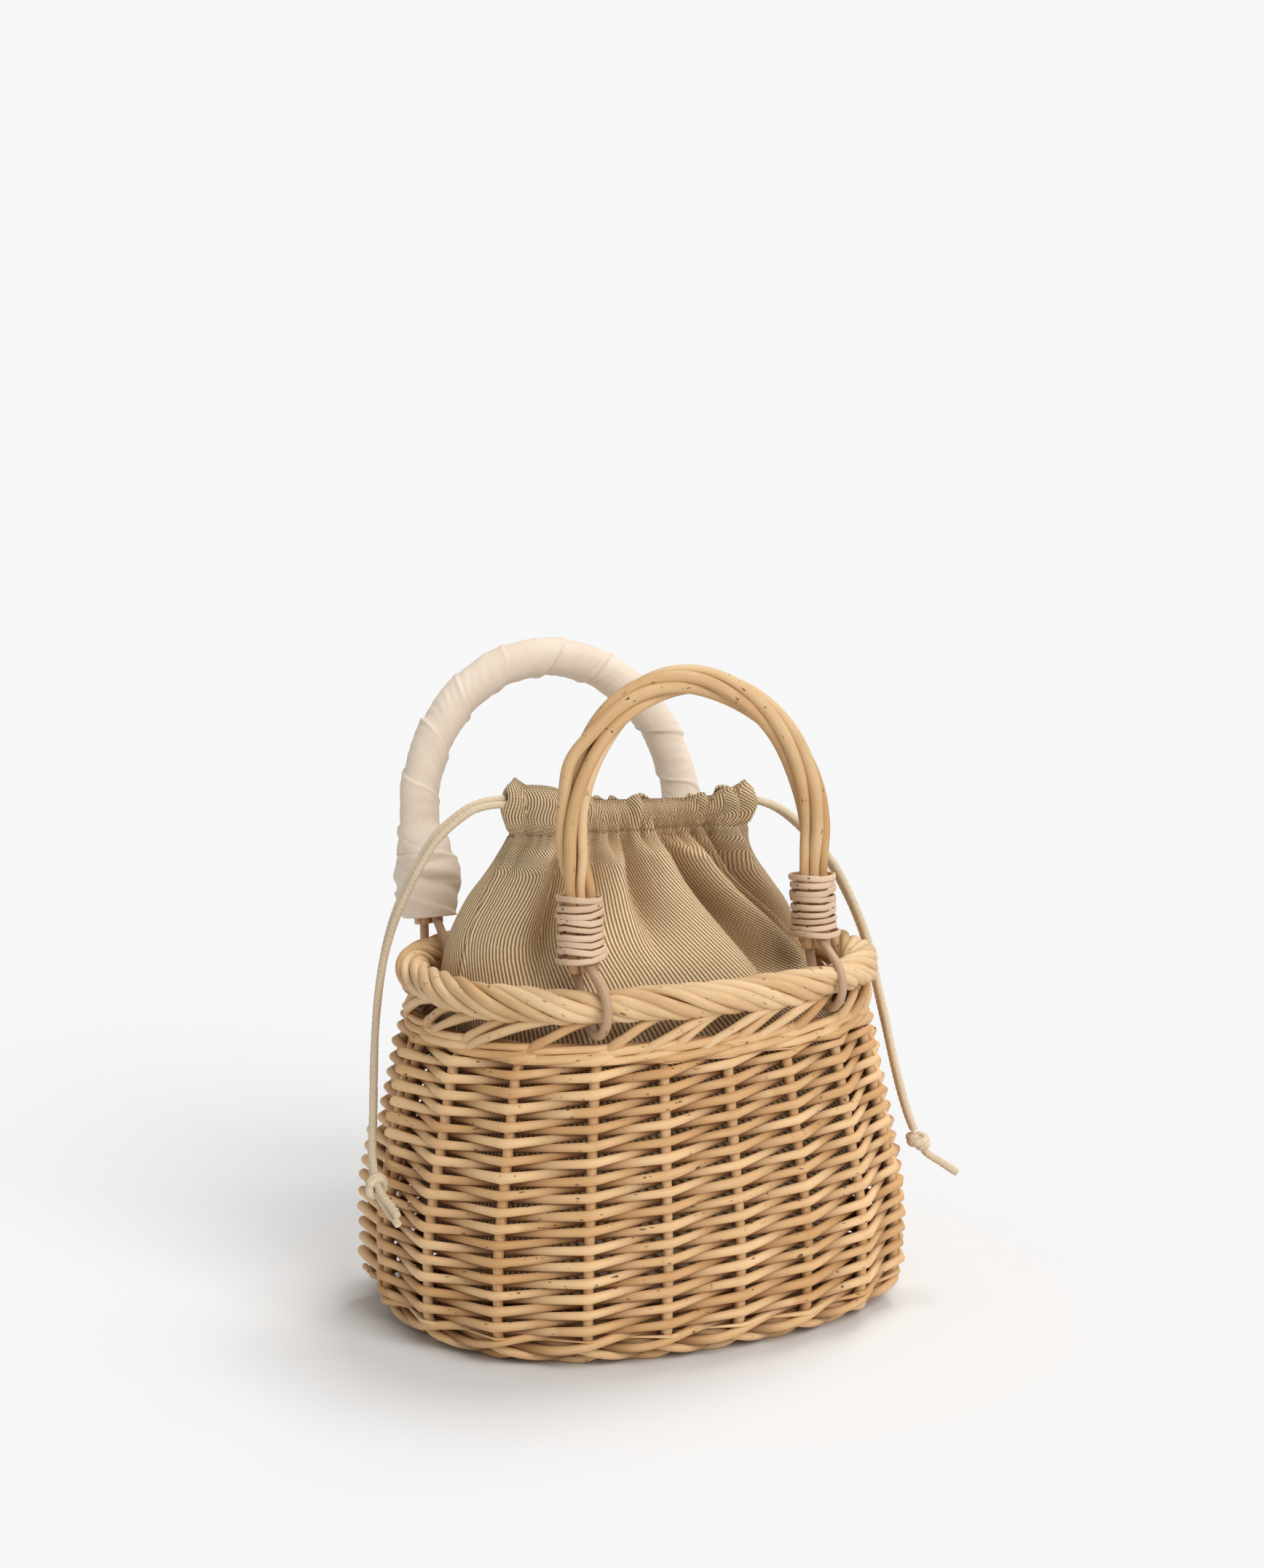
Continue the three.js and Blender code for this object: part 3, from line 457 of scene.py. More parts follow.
def wallRing(marks, height, inset):
    # The wall's middle at each mark, nearly straight from one stake to the next
    length, depth = bellyAt(height)
    if np.ndim(height) == 1:
        length, depth = length[..., None], depth[..., None]
    length, depth = length - inset, depth - inset
    curve, normal = oval(angleAtStake(marks), length, depth)
    low = np.floor(marks)
    start = oval(angleAtStake(low), length, depth)[0]
    end = oval(angleAtStake(np.minimum(low + 1, stakeCount)), length, depth)[0]
    chord = start + (end - start) * (marks - low)[..., None]
    return wallPlan["oval"] * curve + wallPlan["straight"] * chord, normal


weave = {
    "rows": 42, "lowest": 0.0124, "highest": 0.1196, "tilt": 0.125, "reach": 0.47,
    "leftRise": 0.0125, "riseFrom": 0.030, "riseOver": 0.060,
    "inset": 0.0048, "swing": 0.0031, "kink": 0.998, "steps": 10, "sides": 9,
    "fullness": 1.07, "outerFullness": 0.20, "flatness": 0.92, "thinnest": 0.00025,
    "swingUneven": 0.22, "sizeUneven": 0.15, "rowUneven": 0.0004, "rowShift": 0.0001,
    "tones": (0.1, 1), "rodsToARow": 4,
}

# Thick ends of rods laid on outside a stake: how far they poke past it, how far out they stand,
# between which heights, and how thick their last three steps are
butts = [
    {"name": "rod_ends_front", "stake": 17, "poke": 0.0042, "out": 0.0013, "heights": (0.075, 0.13),
     "ends": [0.55, 0.9, 1]},
    {"name": "rod_ends_left", "stake": 16, "poke": 0.0050, "out": 0.0008, "heights": (0.0, 0.078),
     "ends": [0.97, 1, 1]},
]
buttSizes = {"thinnest": 0.0011, "pokes": [1, 0.93, 0.5], "uneven": 0.0012, "thicker": 1.1, "taper": 0.12}


def makeButts(settings, row, paths, outwards, radius):
    # The thick ends of new rods, laid over the old ones outside a stake by the left end
    sizes, steps = buttSizes, settings["steps"]
    first = row["stake"] * steps
    rows = np.arange(row["stake"] % 2, settings["rows"] - 1, 2)
    height, size = paths[rows, first, 2], radius[rows, first]
    low, high = row["heights"]
    rows = rows[(height > low) & (height < high) & (size > sizes["thinnest"])]
    span = (first + np.arange(steps)) % paths.shape[1]
    path, out, size = (values[rows][:, span] for values in (paths, outwards, radius))
    share = np.linspace(0, 1, steps)
    path = path + out * (row["out"] * (1 - share))[None, :, None]
    back = unit(path[:, :1] - path[:, 3:4])
    poke = row["poke"] * np.array(sizes["pokes"])
    poke = poke + rng.uniform(-sizes["uneven"], sizes["uneven"], (len(rows), 1))
    path = np.concatenate([path[:, :1] + back * poke[..., None], path], 1)
    thick = size[:, :1] * np.array(row["ends"]) * sizes["thicker"]
    size = np.concatenate([thick, size * (sizes["thicker"] - sizes["taper"] * share)], 1)
    rings = sweep(path, out.mean(axis=1, keepdims=True), size[..., None], size[..., None], 10)
    tone = rng.uniform(0.4, 1, (len(rows), 1))
    tubePiece(row["name"], rings, "basket", willow, False, tone, 0.9)


def makeWall(settings):
    # Rod k at mark m stands out by swing * triangle(cos(pi (m + k))) from the wall's middle.
    # Its height rises by tilt for each step to the right, and stops at the wales, where it thins out.
    rows, steps = settings["rows"], settings["steps"] * stakeCount
    reach = settings["tilt"] * basket["length"] * settings["reach"]
    heights = np.linspace(settings["lowest"] - reach, settings["highest"] + reach, rows)
    marks = np.linspace(0, stakeCount, steps, endpoint=False)
    plan, normal = wallRing(marks[None], np.array([basket["height"] / 2]), settings["inset"])
    towardsLeft = np.clip((-plan[..., 0] - settings["riseFrom"]) / settings["riseOver"], 0, 1)
    highest = settings["highest"] + settings["leftRise"] * towardsLeft
    level = heights[:, None] + settings["tilt"] * plan[..., 0]
    level = np.clip(level, settings["lowest"], highest)
    pitch = np.gradient(level, axis=0)
    plan, normal = wallRing(marks[None] + np.zeros((rows, 1)), level, settings["inset"])
    wave = np.cos(np.pi * (marks[None] + np.arange(rows)[:, None]))
    wave = np.arcsin(settings["kink"] * wave) / np.arcsin(settings["kink"])
    swing = settings["swing"] * (1 + wander((rows, steps), (3, 7, 11), settings["swingUneven"]))
    full = settings["fullness"] + settings["outerFullness"] * wave.clip(0, 1) ** 2
    radius = pitch * 0.5 * full * (1 + wander((rows, steps), (1, 2, 3), settings["sizeUneven"]))
    radius = np.maximum(radius, settings["thinnest"])
    height = level + wander((rows, steps), (1, 2, 4, 9), settings["rowUneven"])
    height = height + rng.normal(0, settings["rowShift"], (rows, 1))
    paths = lifted(plan + normal * (wave * swing)[..., None], height)
    outwards = lifted(normal, 0.0)
    size = radius[..., None]
    rings = sweep(paths, outwards, size * settings["flatness"], size, settings["sides"], True)
    lengths = settings["rodsToARow"]
    tone = np.repeat(rng.uniform(*settings["tones"], (rows, lengths)), steps // lengths, axis=1)
    shift = rng.integers(0, steps, rows)
    tone = np.stack([np.roll(row, by) for row, by in zip(tone, shift)])
    # Rods take painted shade where they dive in behind the stakes and the rods outside them
    piece = tubePiece("wall_weave", rings, "basket", willow, True, tone, (wave + 1) / 2)
    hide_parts("side_wall")
    for row in butts:
        makeButts(settings, row, paths, outwards, radius)


bentStakes = {
    "leads": np.array([0.0012, 0.0058, 0.0125, 0.0205, 0.030]),
    "rises": np.array([-0.0212, -0.0166, -0.0122, -0.0076, -0.0046]),
    "outs": np.array([-0.0006, 0.0012, 0.0018, 0.0012, -0.0014]),
    "uneven": np.array([0.0, 0.0006, 0.0014, 0.0024, 0.0040]), "unevenRise": 0.12,
    "spareReach": 1.35, "spareOut": 0.0012, "spareAside": (0.004, 0.013),
    "without": [3, 9, 14, 19],    # stakes just before a handle's foot
}
stakeRods = {
    "thickness": 0.0044, "lowest": 0.0022, "past": 0.001, "rises": 34, "straight": 30,
    "steps": 70, "spareSteps": 30, "sides": 8, "uneven": 0.05, "bentShare": 0.86,
    "spareShare": 0.88, "spareUneven": 0.1,
}


def leaningRods(runs, settings, out, longer=1.0):
    # Out of the wall's top, leaning along the basket, and up under the border
    uneven = settings["uneven"] * rng.uniform(-1, 1, (len(runs), 1))
    lead = settings["leads"] * longer + uneven
    plan, normal = oval(angleAt(runs[:, None] + lead), rimLength, rimDepth)
    flat = plan + normal * (settings["outs"] + out)[None, :, None]
    return lifted(flat, basket["borderHeight"] + settings["rises"] + settings["unevenRise"] * uneven)


def makeStakes(settings, bent, inset):
    # Each stake climbs the wall, then bends over in the open band and runs on inside the border
    heights = np.linspace(settings["lowest"], basket["height"] + settings["past"], settings["rises"])
    length, depth = bellyAt(heights)
    angle = angleAtStake(np.arange(stakeCount, dtype=float))[:, None]
    climb = lifted(oval(angle, length[None] - inset, depth[None] - inset)[0], heights)
    over = leaningRods(stakes, bent, 0.0)
    knots = np.concatenate([climb[:, :settings["straight"]], over], 1)
    paths = np.stack([evenPath(one, settings["steps"]) for one in knots])
    thick = settings["thickness"] / 2
    radius = thick * (1 + wander(paths.shape[:2], (1, 2), settings["uneven"]))
    radius = radius * np.where(paths[..., 2] > basket["height"], settings["bentShare"], 1)
    steady = lifted(oval(angle, rimLength, rimDepth)[1], 0.0)
    rings = sweep(paths, steady, radius[..., None], radius[..., None], settings["sides"])
    tone = rng.uniform(0.2, 0.9, (stakeCount, 1))
    # A fixed depth gives the stakes some painted shade, as they lie behind the weavers
    tubePiece("stakes", rings, "basket", willow, False, tone, 0.62)
    spares = np.delete(np.arange(stakeCount), bent["without"])
    second = stakes[spares] + rng.uniform(*bent["spareAside"], len(spares))
    spare = leaningRods(second, bent, bent["spareOut"], bent["spareReach"])
    paths = np.stack([evenPath(one, settings["spareSteps"]) for one in spare])
    uneven = wander(paths.shape[:2], (1, 2), settings["spareUneven"])
    radius = (thick * (settings["spareShare"] + uneven))[..., None]
    rings = sweep(paths, steady[spares], radius, radius, settings["sides"])
    tone = rng.uniform(0.0, 1, (len(spares), 1))
    tubePiece("bent_stakes", rings, "basket", paleRod, False, tone, 0.8)


foot = {
    "heights": [0.0031, 0.0066, 0.0102], "radius": 0.00182, "out": 0.0030, "up": 0.0029, "inset": 0.0046,
}
upperWale = {
    "heights": [0.1222, 0.1256], "radius": 0.0017, "out": 0.0017, "up": 0.0012, "inset": 0.0038,
    "strands": 3, "turns": 7,
}
ringRods = {"stepsToAStake": 10, "sides": 9, "sizeUneven": 0.12, "riseUneven": 0.0003, "clear": 0.0001}


def ringPiece(name, node, settings, phase, height, up):
    # Rods that run all round the basket, out by out * cos(phase) and up by up * sin(phase)
    rows, steps = phase.shape
    around = np.linspace(0, stakeCount, steps, endpoint=False)
    plan, normal = wallRing(around[None] + np.zeros((rows, 1)), height, settings["inset"])
    size = settings["radius"] * (1 + wander((rows, steps), (1, 2, 3), ringRods["sizeUneven"]))
    lift = height[:, None] + up * np.sin(phase)
    lift = lift + wander((rows, steps), (1, 3, 5), ringRods["riseUneven"])
    lift = np.maximum(lift, size + ringRods["clear"])
    paths = lifted(plan + normal * (settings["out"] * np.cos(phase))[..., None], lift)
    rings = sweep(paths, lifted(normal, 0.0), size[..., None], size[..., None], ringRods["sides"], True)
    tone = rng.uniform(0.15, 1, (rows, 1))
    # Rods take painted shade where they pass inside a stake
    piece = tubePiece(name, rings, "basket", willow, True, tone, (np.cos(phase) + 1) / 2)
    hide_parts(node)


def makeFoot(settings):
    # Two rods to a row that pass each stake on opposite sides and cross between the stakes
    rods = 2 * len(settings["heights"])
    around = np.linspace(0, stakeCount, ringRods["stepsToAStake"] * stakeCount, endpoint=False)
    phase = np.pi * (around[None] + np.arange(rods)[:, None])
    up = settings["up"] * np.repeat([1, -1, 1], 2)[:, None]
    ringPiece("foot_rods", "foot_wale", settings, phase, np.repeat(settings["heights"], 2), up)


def makeUpperWale(settings):
    # Three rods to a row, a third of a turn apart, which wind round each other seven times
    rows, strands = len(settings["heights"]), settings["strands"]
    around = np.linspace(0, 1, ringRods["stepsToAStake"] * stakeCount, endpoint=False)
    strand = np.tile(np.arange(strands), rows)[:, None] / strands
    start = np.repeat(rng.uniform(0, 6, rows), strands)[:, None]
    phase = 2 * np.pi * (settings["turns"] * around[None] - strand) + start
    height = np.repeat(settings["heights"], strands)
    ringPiece("upper_rods", "upper_wale", settings, phase, height, settings["up"])


floorWeave = {
    "rings": 21, "pitch": 0.0035, "middle": 0.0042, "swing": 0.0017, "radius": 0.0016, "edge": 0.005,
    "uneven": 0.1, "stepsToAStake": 6, "sides": 6, "spokeRadius": 0.0017, "spokeFrom": 0.002,
    "spokeGap": 0.003, "spokeSteps": 30,
}


def makeFloor(settings):
    # Rings inside rings, over and under spokes that run in to the middle line
    rings, sides, upright = settings["rings"], settings["sides"], np.array([0, 0, 1.0])
    steps = settings["stepsToAStake"] * stakeCount
    length, depth = bellyAt(0.0)
    inset = settings["edge"] + settings["pitch"] * np.arange(rings)
    marks = np.linspace(0, stakeCount, steps, endpoint=False)
    plan = oval(angleAtStake(marks)[None], (length - inset)[:, None], (depth - inset)[:, None])[0]
    wave = np.cos(np.pi * (marks[None] + np.arange(rings)[:, None]))
    paths = lifted(plan, settings["middle"] + settings["swing"] * wave)
    radius = settings["radius"] * (1 + wander((rings, steps), (1, 2, 3), settings["uneven"]))
    tubes = sweep(paths, upright, radius[..., None], radius[..., None], sides, True)
    # The depths give the rings painted shade midway between the spokes
    tone, depths = rng.uniform(0.1, 0.9, (rings, 1)), 0.5 + 0.5 * np.abs(wave)
    piece = tubePiece("floor_weave", tubes, "basket", willow, True, tone, depths)
    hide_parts("base_weave")
    last = float(depth) - settings["spokeGap"]
    inset = np.linspace(settings["spokeFrom"], last, settings["spokeSteps"])[None]
    angle = angleAtStake(np.arange(stakeCount))[:, None]
    spokes = lifted(oval(angle, length - inset, depth - inset)[0], settings["middle"])
    tubes = sweep(spokes, upright, settings["spokeRadius"], settings["spokeRadius"], sides)
    # A fixed depth gives the spokes some painted shade, as they lie under the rings
    tubePiece("floor_spokes", tubes, "basket", willow, False, 0.5, 0.6)


border = {
    "strands": 7, "radius": 0.00232, "reach": 0.0050, "lay": 0.079, "steps": 440, "sides": 12,
    "pinch": 0.0012, "pinchReach": 0.008, "turnUneven": 0.24, "reachUneven": 0.0008,
    "sizeUneven": 0.14, "riseUneven": 0.0004, "toneUneven": 0.35,
}


def makeBorder(settings):
    # Strand k winds round the border's middle line: its turn is 2 pi (k / strands - run / lay).
    # The rope is pinched in where a handle's loop holds it.
    strands, steps = settings["strands"], settings["steps"]
    run = np.linspace(0, rimRun, steps, endpoint=False)
    angle = angleAt(runAt(-math.pi) + run)
    plan, normal = oval(angle, rimLength, rimDepth)
    turns = round(rimRun / settings["lay"])
    turn = 2 * np.pi * (np.arange(strands)[:, None] / strands - turns * run[None] / rimRun)
    turn = turn + wander((strands, steps), (2, 3, 5, 7, 11), settings["turnUneven"])
    feet = [footAngle(row[end], row["side"]) for row in handles.values() for end in ("left", "right")]
    feet = oval(np.array(feet), rimLength, rimDepth)[0]
    near = np.linalg.norm(plan[:, None] - feet[None], axis=-1).min(axis=1)
    reach = settings["reach"] - settings["pinch"] * bell(near, settings["pinchReach"])
    reach = reach + wander((strands, steps), (5, 9, 14), settings["reachUneven"])
    radius = settings["radius"] * (1 + wander((strands, steps), (2, 3, 5), settings["sizeUneven"]))
    out, up = reach * np.cos(turn), reach * np.sin(turn)
    height = basket["borderHeight"] + up + wander((steps,), (2, 3, 4), settings["riseUneven"])
    paths = lifted(plan[None] + normal[None] * out[..., None], height)
    radial = lifted(normal[None] * np.cos(turn)[..., None], np.sin(turn))
    rings = sweep(paths, radial, radius[..., None], radius[..., None], settings["sides"], True)
    tone = rng.uniform(0.2, 1, (strands, 1))
    tone = tone + wander((strands, steps), (1, 2, 3), settings["toneUneven"])
    piece = tubePiece("border_rope", rings, "basket", paleRod, True, tone, 1.0)
    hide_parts("rim_border")


cutEnds = {
    "runs": [0.1990, 0.2045, 0.2105, 0.2160], "length": 0.021, "steps": 16, "sides": 12,
    "turnFrom": 62, "turnBy": 74, "turnUneven": 0.06,    # degrees, degrees and radians
    "reach": 0.0056, "rise": 0.0017, "radius": 0.0021, "slant": 0.0016,
}


def makeCutEnds(settings):
    # Rods that end on the outside of the border, cut aslant, lying along its strands
    steps, sides = settings["steps"], settings["sides"]
    share = np.linspace(0, 1, steps)[None]
    starts = np.array(settings["runs"])[:, None]
    run = starts + settings["length"] * (share - 1)
    turn = math.radians(settings["turnFrom"]) - math.radians(settings["turnBy"]) * share
    turn = turn + rng.normal(0, settings["turnUneven"], starts.shape)
    plan, normal = oval(angleAt(run), rimLength, rimDepth)
    reach = settings["reach"] + settings["rise"] * share
    flat = plan + normal * (reach * np.cos(turn))[..., None]
    paths = lifted(flat, basket["borderHeight"] + reach * np.sin(turn))
    steady = lifted(normal, 0.0).mean(axis=1, keepdims=True)
    rings = sweep(paths, steady, settings["radius"], settings["radius"], sides)
    slope = np.sin(np.linspace(0, 2 * np.pi, sides, endpoint=False))
    ahead = unit(paths[:, -1] - paths[:, -2])
    rings[:, -1] += ahead[:, None] * (slope * settings["slant"])[None, :, None]
    tubePiece("cut_ends", rings, "basket", paleRod, False, rng.uniform(0.5, 1, starts.shape), 1.0)


# Handles

handleSizes = {
    "diameter": 0.013, "tieWidth": 0.014, "tieDepth": 0.0072, "footRise": 0.016,
    "bindingLength": 0.026, "loopRod": 0.0038, "loopRadius": 0.01175, "loopHug": 0.0022,
    "legDrop": 0.0012, "gap": 0.0003, "fit": 0.0004, "bindingWall": 0.0017,
}


def handleFrame(row):
    left = oval(np.array(footAngle(row["left"], row["side"])), rimLength, rimDepth)[0]
    right = oval(np.array(footAngle(row["right"], row["side"])), rimLength, rimDepth)[0]
    skew = math.atan2(right[1] - left[1], right[0] - left[0])
    turn = skew if row["side"] < 0 else skew + math.pi
    middle = np.array([*(left + right) / 2, basket["borderHeight"]])
    facing = 1 if row["side"] < 0 else -1
    return {
        "turn": turn, "middle": middle, "foot": float(np.linalg.norm(right - left)) / 2,
        "spring": row["spring"] * rimLength, "apex": row["apex"] * rimLength,
        "flare": row["flare"] * rimLength, "sway": row["sway"] * rimLength * facing,
        "inset": row["inset"] * rimLength, "lean": row["lean"],
    }


def toBag(place, points):
    c, s = math.cos(place["turn"]), math.sin(place["turn"])
    x = points[..., 0] * c - points[..., 1] * s
    y = points[..., 0] * s + points[..., 1] * c
    return np.stack([x, y, points[..., 2]], -1) + place["middle"]


def leaning(place, x, rise):
    # A point of the handle's own plane, which leans in or out as it rises
    y = place["inset"] + place["lean"] * (rise - handleSizes["footRise"])
    return np.stack(np.broadcast_arrays(x, y, rise), -1)


def planeNormal(place):
    return unit(np.array([0, 1.0, -place["lean"]]))


def archPath(place, start, count):
    top = handleSizes["footRise"] + handleSizes["bindingLength"]
    foot, flare, spring = place["foot"], place["flare"], place["spring"]
    legX = [foot, foot, foot, foot + flare * 0.3, foot + flare * 0.8]
    legRise = [start, handleSizes["footRise"], top, top + (spring - top) * 0.3, top + (spring - top) * 0.7]
    angle = np.linspace(0, np.pi, 17)
    x = np.r_[-np.array(legX), -(foot + flare) * np.cos(angle), np.array(legX)[::-1]]
    rise = np.r_[legRise, spring + (place["apex"] - spring) * np.sin(angle), legRise[::-1]]
    height = np.maximum(0, rise - top) / (place["apex"] - top)
    return evenPath(leaning(place, x + place["sway"] * height**2, rise), count)


# The twist starts a little above one foot and ends before the other. At the left shoulder one
# rod stands away from the rest by the gap.
bundle = {
    "rods": 5, "radius": 0.0025, "below": 0.0045, "steps": 150, "sides": 10,
    "easeOver": 1.4, "twist": 0.95, "twistFrom": 0.14, "twistOver": 0.74, "startTurn": 0.4,
    "turnUneven": 0.24, "ringUneven": 0.0009, "sizeUneven": 0.12, "toneUneven": 0.3,
    "shoulder": 0.29, "shoulderWidth": 0.035, "shoulderGap": 0.0030, "tiedShare": 0.86, "freeShare": 0.14,
    # Places in the binding, three rods over two: out and aside
    "tied": [(-0.0012, -0.0044), (0.0012, -0.0023), (0.0012, 0.0023), (-0.0012, 0.0044), (-0.0014, 0)],
}


def tiedPlaces(turns):
    # The places in a binding, given to the rods in the order they come round
    spots = np.array(bundle["tied"])
    angles = np.arctan2(spots[:, 1], spots[:, 0])
    rods = np.arange(len(turns))
    fits = [np.cos(turns - angles[(rods + skip) % len(turns)]).sum() for skip in rods]
    return spots[(rods + int(np.argmax(fits))) % len(turns)]


def makeRods(name, place, body, node, loose):
    # Twisted rods: side by side in the bindings, round a ring of five above them
    sizes, rods, count = handleSizes, bundle["rods"], bundle["steps"]
    path = archPath(place, sizes["footRise"] - bundle["below"], count)
    top = sizes["footRise"] + sizes["bindingLength"]
    free = ease((path[:, 2] - top) / (bundle["easeOver"] * sizes["diameter"]))
    share = np.linspace(0, 1, count)
    wound = ease((share - bundle["twistFrom"]) / bundle["twistOver"])
    turn = np.arange(rods)[:, None] / rods + bundle["twist"] * (wound[None] - 0.5)
    turn = 2 * np.pi * turn + bundle["startTurn"]
    turn = turn + wander((rods, count), (1, 2, 3), bundle["turnUneven"] * loose)
    ring = sizes["diameter"] / 2 - bundle["radius"]
    ring = ring + wander((rods, count), (2, 3, 5), bundle["ringUneven"] * loose)
    shoulder = bundle["shoulder"]
    away = np.argmax(np.sin(turn[:, int(shoulder * count)]))
    ring[away] += loose * bundle["shoulderGap"] * bell(share - shoulder, bundle["shoulderWidth"])
    ends = [tiedPlaces(turn[:, 0]), tiedPlaces(turn[:, -1])]
    tied = np.where((share < 0.5)[None, :, None], ends[0][:, None], ends[1][:, None])
    normal = planeNormal(place)
    across = unit(np.cross(unit(np.gradient(path, axis=0)), normal))
    along = ring * np.cos(turn) * free + tied[..., 0] * (1 - free)
    aside = ring * np.sin(turn) * free + tied[..., 1] * (1 - free)
    paths = path[None] + along[..., None] * normal + aside[..., None] * across[None]
    radius = bundle["radius"] * (bundle["tiedShare"] + bundle["freeShare"] * free)
    radius = (radius * (1 + wander((rods, count), (1, 2, 3), bundle["sizeUneven"])))[..., None]
    rings = sweep(paths, normal, radius, radius, bundle["sides"])
    tone = rng.uniform(0.0, 0.7, (rods, 1)) + wander((rods, count), (1, 2), bundle["toneUneven"])
    piece = tubePiece(name, toBag(place, rings), body, paleRod, False, tone, 1.0)
    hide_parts(node)


def holeHalves():
    sizes = handleSizes
    across = sizes["tieWidth"] / 2 + sizes["fit"]
    return sizes["tieDepth"] / 2 + sizes["gap"] + sizes["loopRod"] + sizes["fit"], across


binding = {
    "turns": 9, "steps": 56, "sides": 10, "square": 0.75, "thickness": 0.00062, "height": 0.42,
    "heightUneven": (-0.16, 0.12), "firstHeight": 1.15, "stand": 0.0006, "standUneven": (0, 0.0005),
    "firstStand": 0.0009, "slope": (-0.0003, 0.0006), "vee": (0.0002, 0.0014), "dip": 0.0003,
}


def makeBinding(name, place, side, body, node, settings):
    # Flat rings of skein, stacked up the foot. Each slopes a little its own way, and its outer
    # side has a shallow vee.
    sizes, turns = handleSizes, settings["turns"]
    along, across = holeHalves()
    angle = np.linspace(0, 2 * np.pi, settings["steps"], endpoint=False)
    power = 2 / basket["power"]
    ovalAlong, ovalAcross = signedPower(np.cos(angle), power), signedPower(np.sin(angle), power)
    pitch = sizes["bindingLength"] / turns
    level = (np.arange(turns) + 0.5) * pitch
    grow = settings["stand"] + rng.uniform(*settings["standUneven"], turns)
    grow[0] += settings["firstStand"]
    slope = rng.normal(*settings["slope"], (turns, 1)) * ovalAcross
    vee = rng.uniform(*settings["vee"], (turns, 1)) * (np.abs(ovalAcross) - 0.5)
    tilt = slope + vee * (ovalAlong < 0) + settings["dip"] * np.cos(angle)[None]
    foot = leaning(place, side * place["foot"], sizes["footRise"])
    climb = unit(np.array([0, place["lean"], 1.0]))
    normal = planeNormal(place)
    acrossWay = np.cross(climb, normal)
    paths = foot + climb * (level[:, None] + tilt)[..., None]
    paths = paths + normal * ((along + grow[:, None]) * ovalAlong[None])[..., None]
    paths = paths + acrossWay * ((across + grow[:, None]) * ovalAcross[None])[..., None]
    half = pitch * settings["height"] * (1 + rng.uniform(*settings["heightUneven"], (turns, 1, 1)))
    half[0] *= settings["firstHeight"]
    rings = sweep(paths, climb, half, settings["thickness"], settings["sides"], True, settings["square"])
    tone = rng.uniform(0.3, 1, (turns, 1))
    piece = tubePiece(name, toBag(place, rings), body, skein, True, tone, 1.0)
    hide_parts(node)


loop = {
    "arcSteps": 14, "hugOver": 1.8, "hugPower": 0.7, "steps": 70, "sides": 10, "uneven": 0.05,
    "palest": 0.25,
}


def loopPath(place, side):
    # Up one side of the bundle, under the border round its middle, and up the other side. The
    # outer leg and the arc below it lie closer to the border by the hug.
    sizes = handleSizes
    offset = sizes["tieDepth"] / 2 + sizes["gap"] + sizes["loopRod"] / 2
    x = side * place["foot"]
    normal = planeNormal(place)
    bottom = sizes["footRise"] - sizes["legDrop"]
    top = sizes["footRise"] + sizes["bindingLength"] - sizes["loopRod"]
    outer, inner = (leaning(place, x, bottom) + sign * offset * normal for sign in (-1, 1))

    def swing(point, sign):
        reach = math.hypot(point[1], point[2])
        near = sizes["loopRadius"] - (sizes["loopHug"] if sign > 0 else 0)
        return math.atan2(point[2], point[1]) + sign * math.acos(near / reach)

    angle = np.linspace(swing(outer, 1), swing(inner, -1) + 2 * math.pi, loop["arcSteps"])
    hug = np.clip((1.5 * math.pi - angle) / loop["hugOver"], 0, 1) ** loop["hugPower"]
    near = sizes["loopRadius"] - sizes["loopHug"] * hug
    arc = np.stack([x + 0 * angle, near * np.cos(angle), near * np.sin(angle)], -1)
    legs = [leaning(place, x, rise) for rise in (top, sizes["footRise"])]
    down = [leg - offset * normal for leg in legs] + [outer]
    up = [inner] + [leg + offset * normal for leg in legs[::-1]]
    return np.concatenate([down, arc, up])


def makeLoop(name, place, side, body, node, settings):
    path = evenPath(loopPath(place, side), settings["steps"])[None]
    uneven = wander(path.shape[:2], (1, 2), settings["uneven"])
    radius = (handleSizes["loopRod"] / 2 * (1 + uneven))[..., None]
    rings = toBag(place, sweep(path, np.array([1.0, 0, 0]), radius, radius, settings["sides"]))
    tone = float(rng.uniform(0.0, settings["palest"]))
    # A fixed depth gives the loop some painted shade, as it lies under the border
    piece = tubePiece(name, rings, body, skein, False, tone, 0.6)
    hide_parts(node)


print("helpers ready")


# Cotton finishes

def clothMaterial(name, light, dark, threads, height):
    # Plain weave: two crossing sets of threads in the piece's own UV, which is in metres
    material, tree, shader = newMaterial(name, 0.9)
    place = tree.nodes.new("ShaderNodeTexCoord")
    parts = addNode(tree, "ShaderNodeSeparateXYZ", {}, {0: place.outputs["UV"]})
    warp = mathNode(tree, "SINE", mathNode(tree, "MULTIPLY", parts.outputs[0], threads))
    weft = mathNode(tree, "SINE", mathNode(tree, "MULTIPLY", parts.outputs[1], threads))
    cross = mathNode(tree, "MULTIPLY", warp, weft)
    cloud = noise(tree, place.outputs["Object"], 45.0, 4.0)
    fuzz = noise(tree, place.outputs["Object"], 900.0)
    share = addShare(tree, mathNode(tree, "MULTIPLY", cloud, 0.7), fuzz, 0.35)
    tint = blendColour(tree, stretch(tree, share, 0.25, 0.8), colour(*dark), colour(*light))
    tree.links.new(tint, shader.inputs["Base Color"])
    shader.inputs["Specular IOR Level"].default_value = 0.15
    shader.inputs["Sheen Weight"].default_value = 0.15
    bump(tree, shader, addShare(tree, cross, fuzz, 1.2), height)
    return material


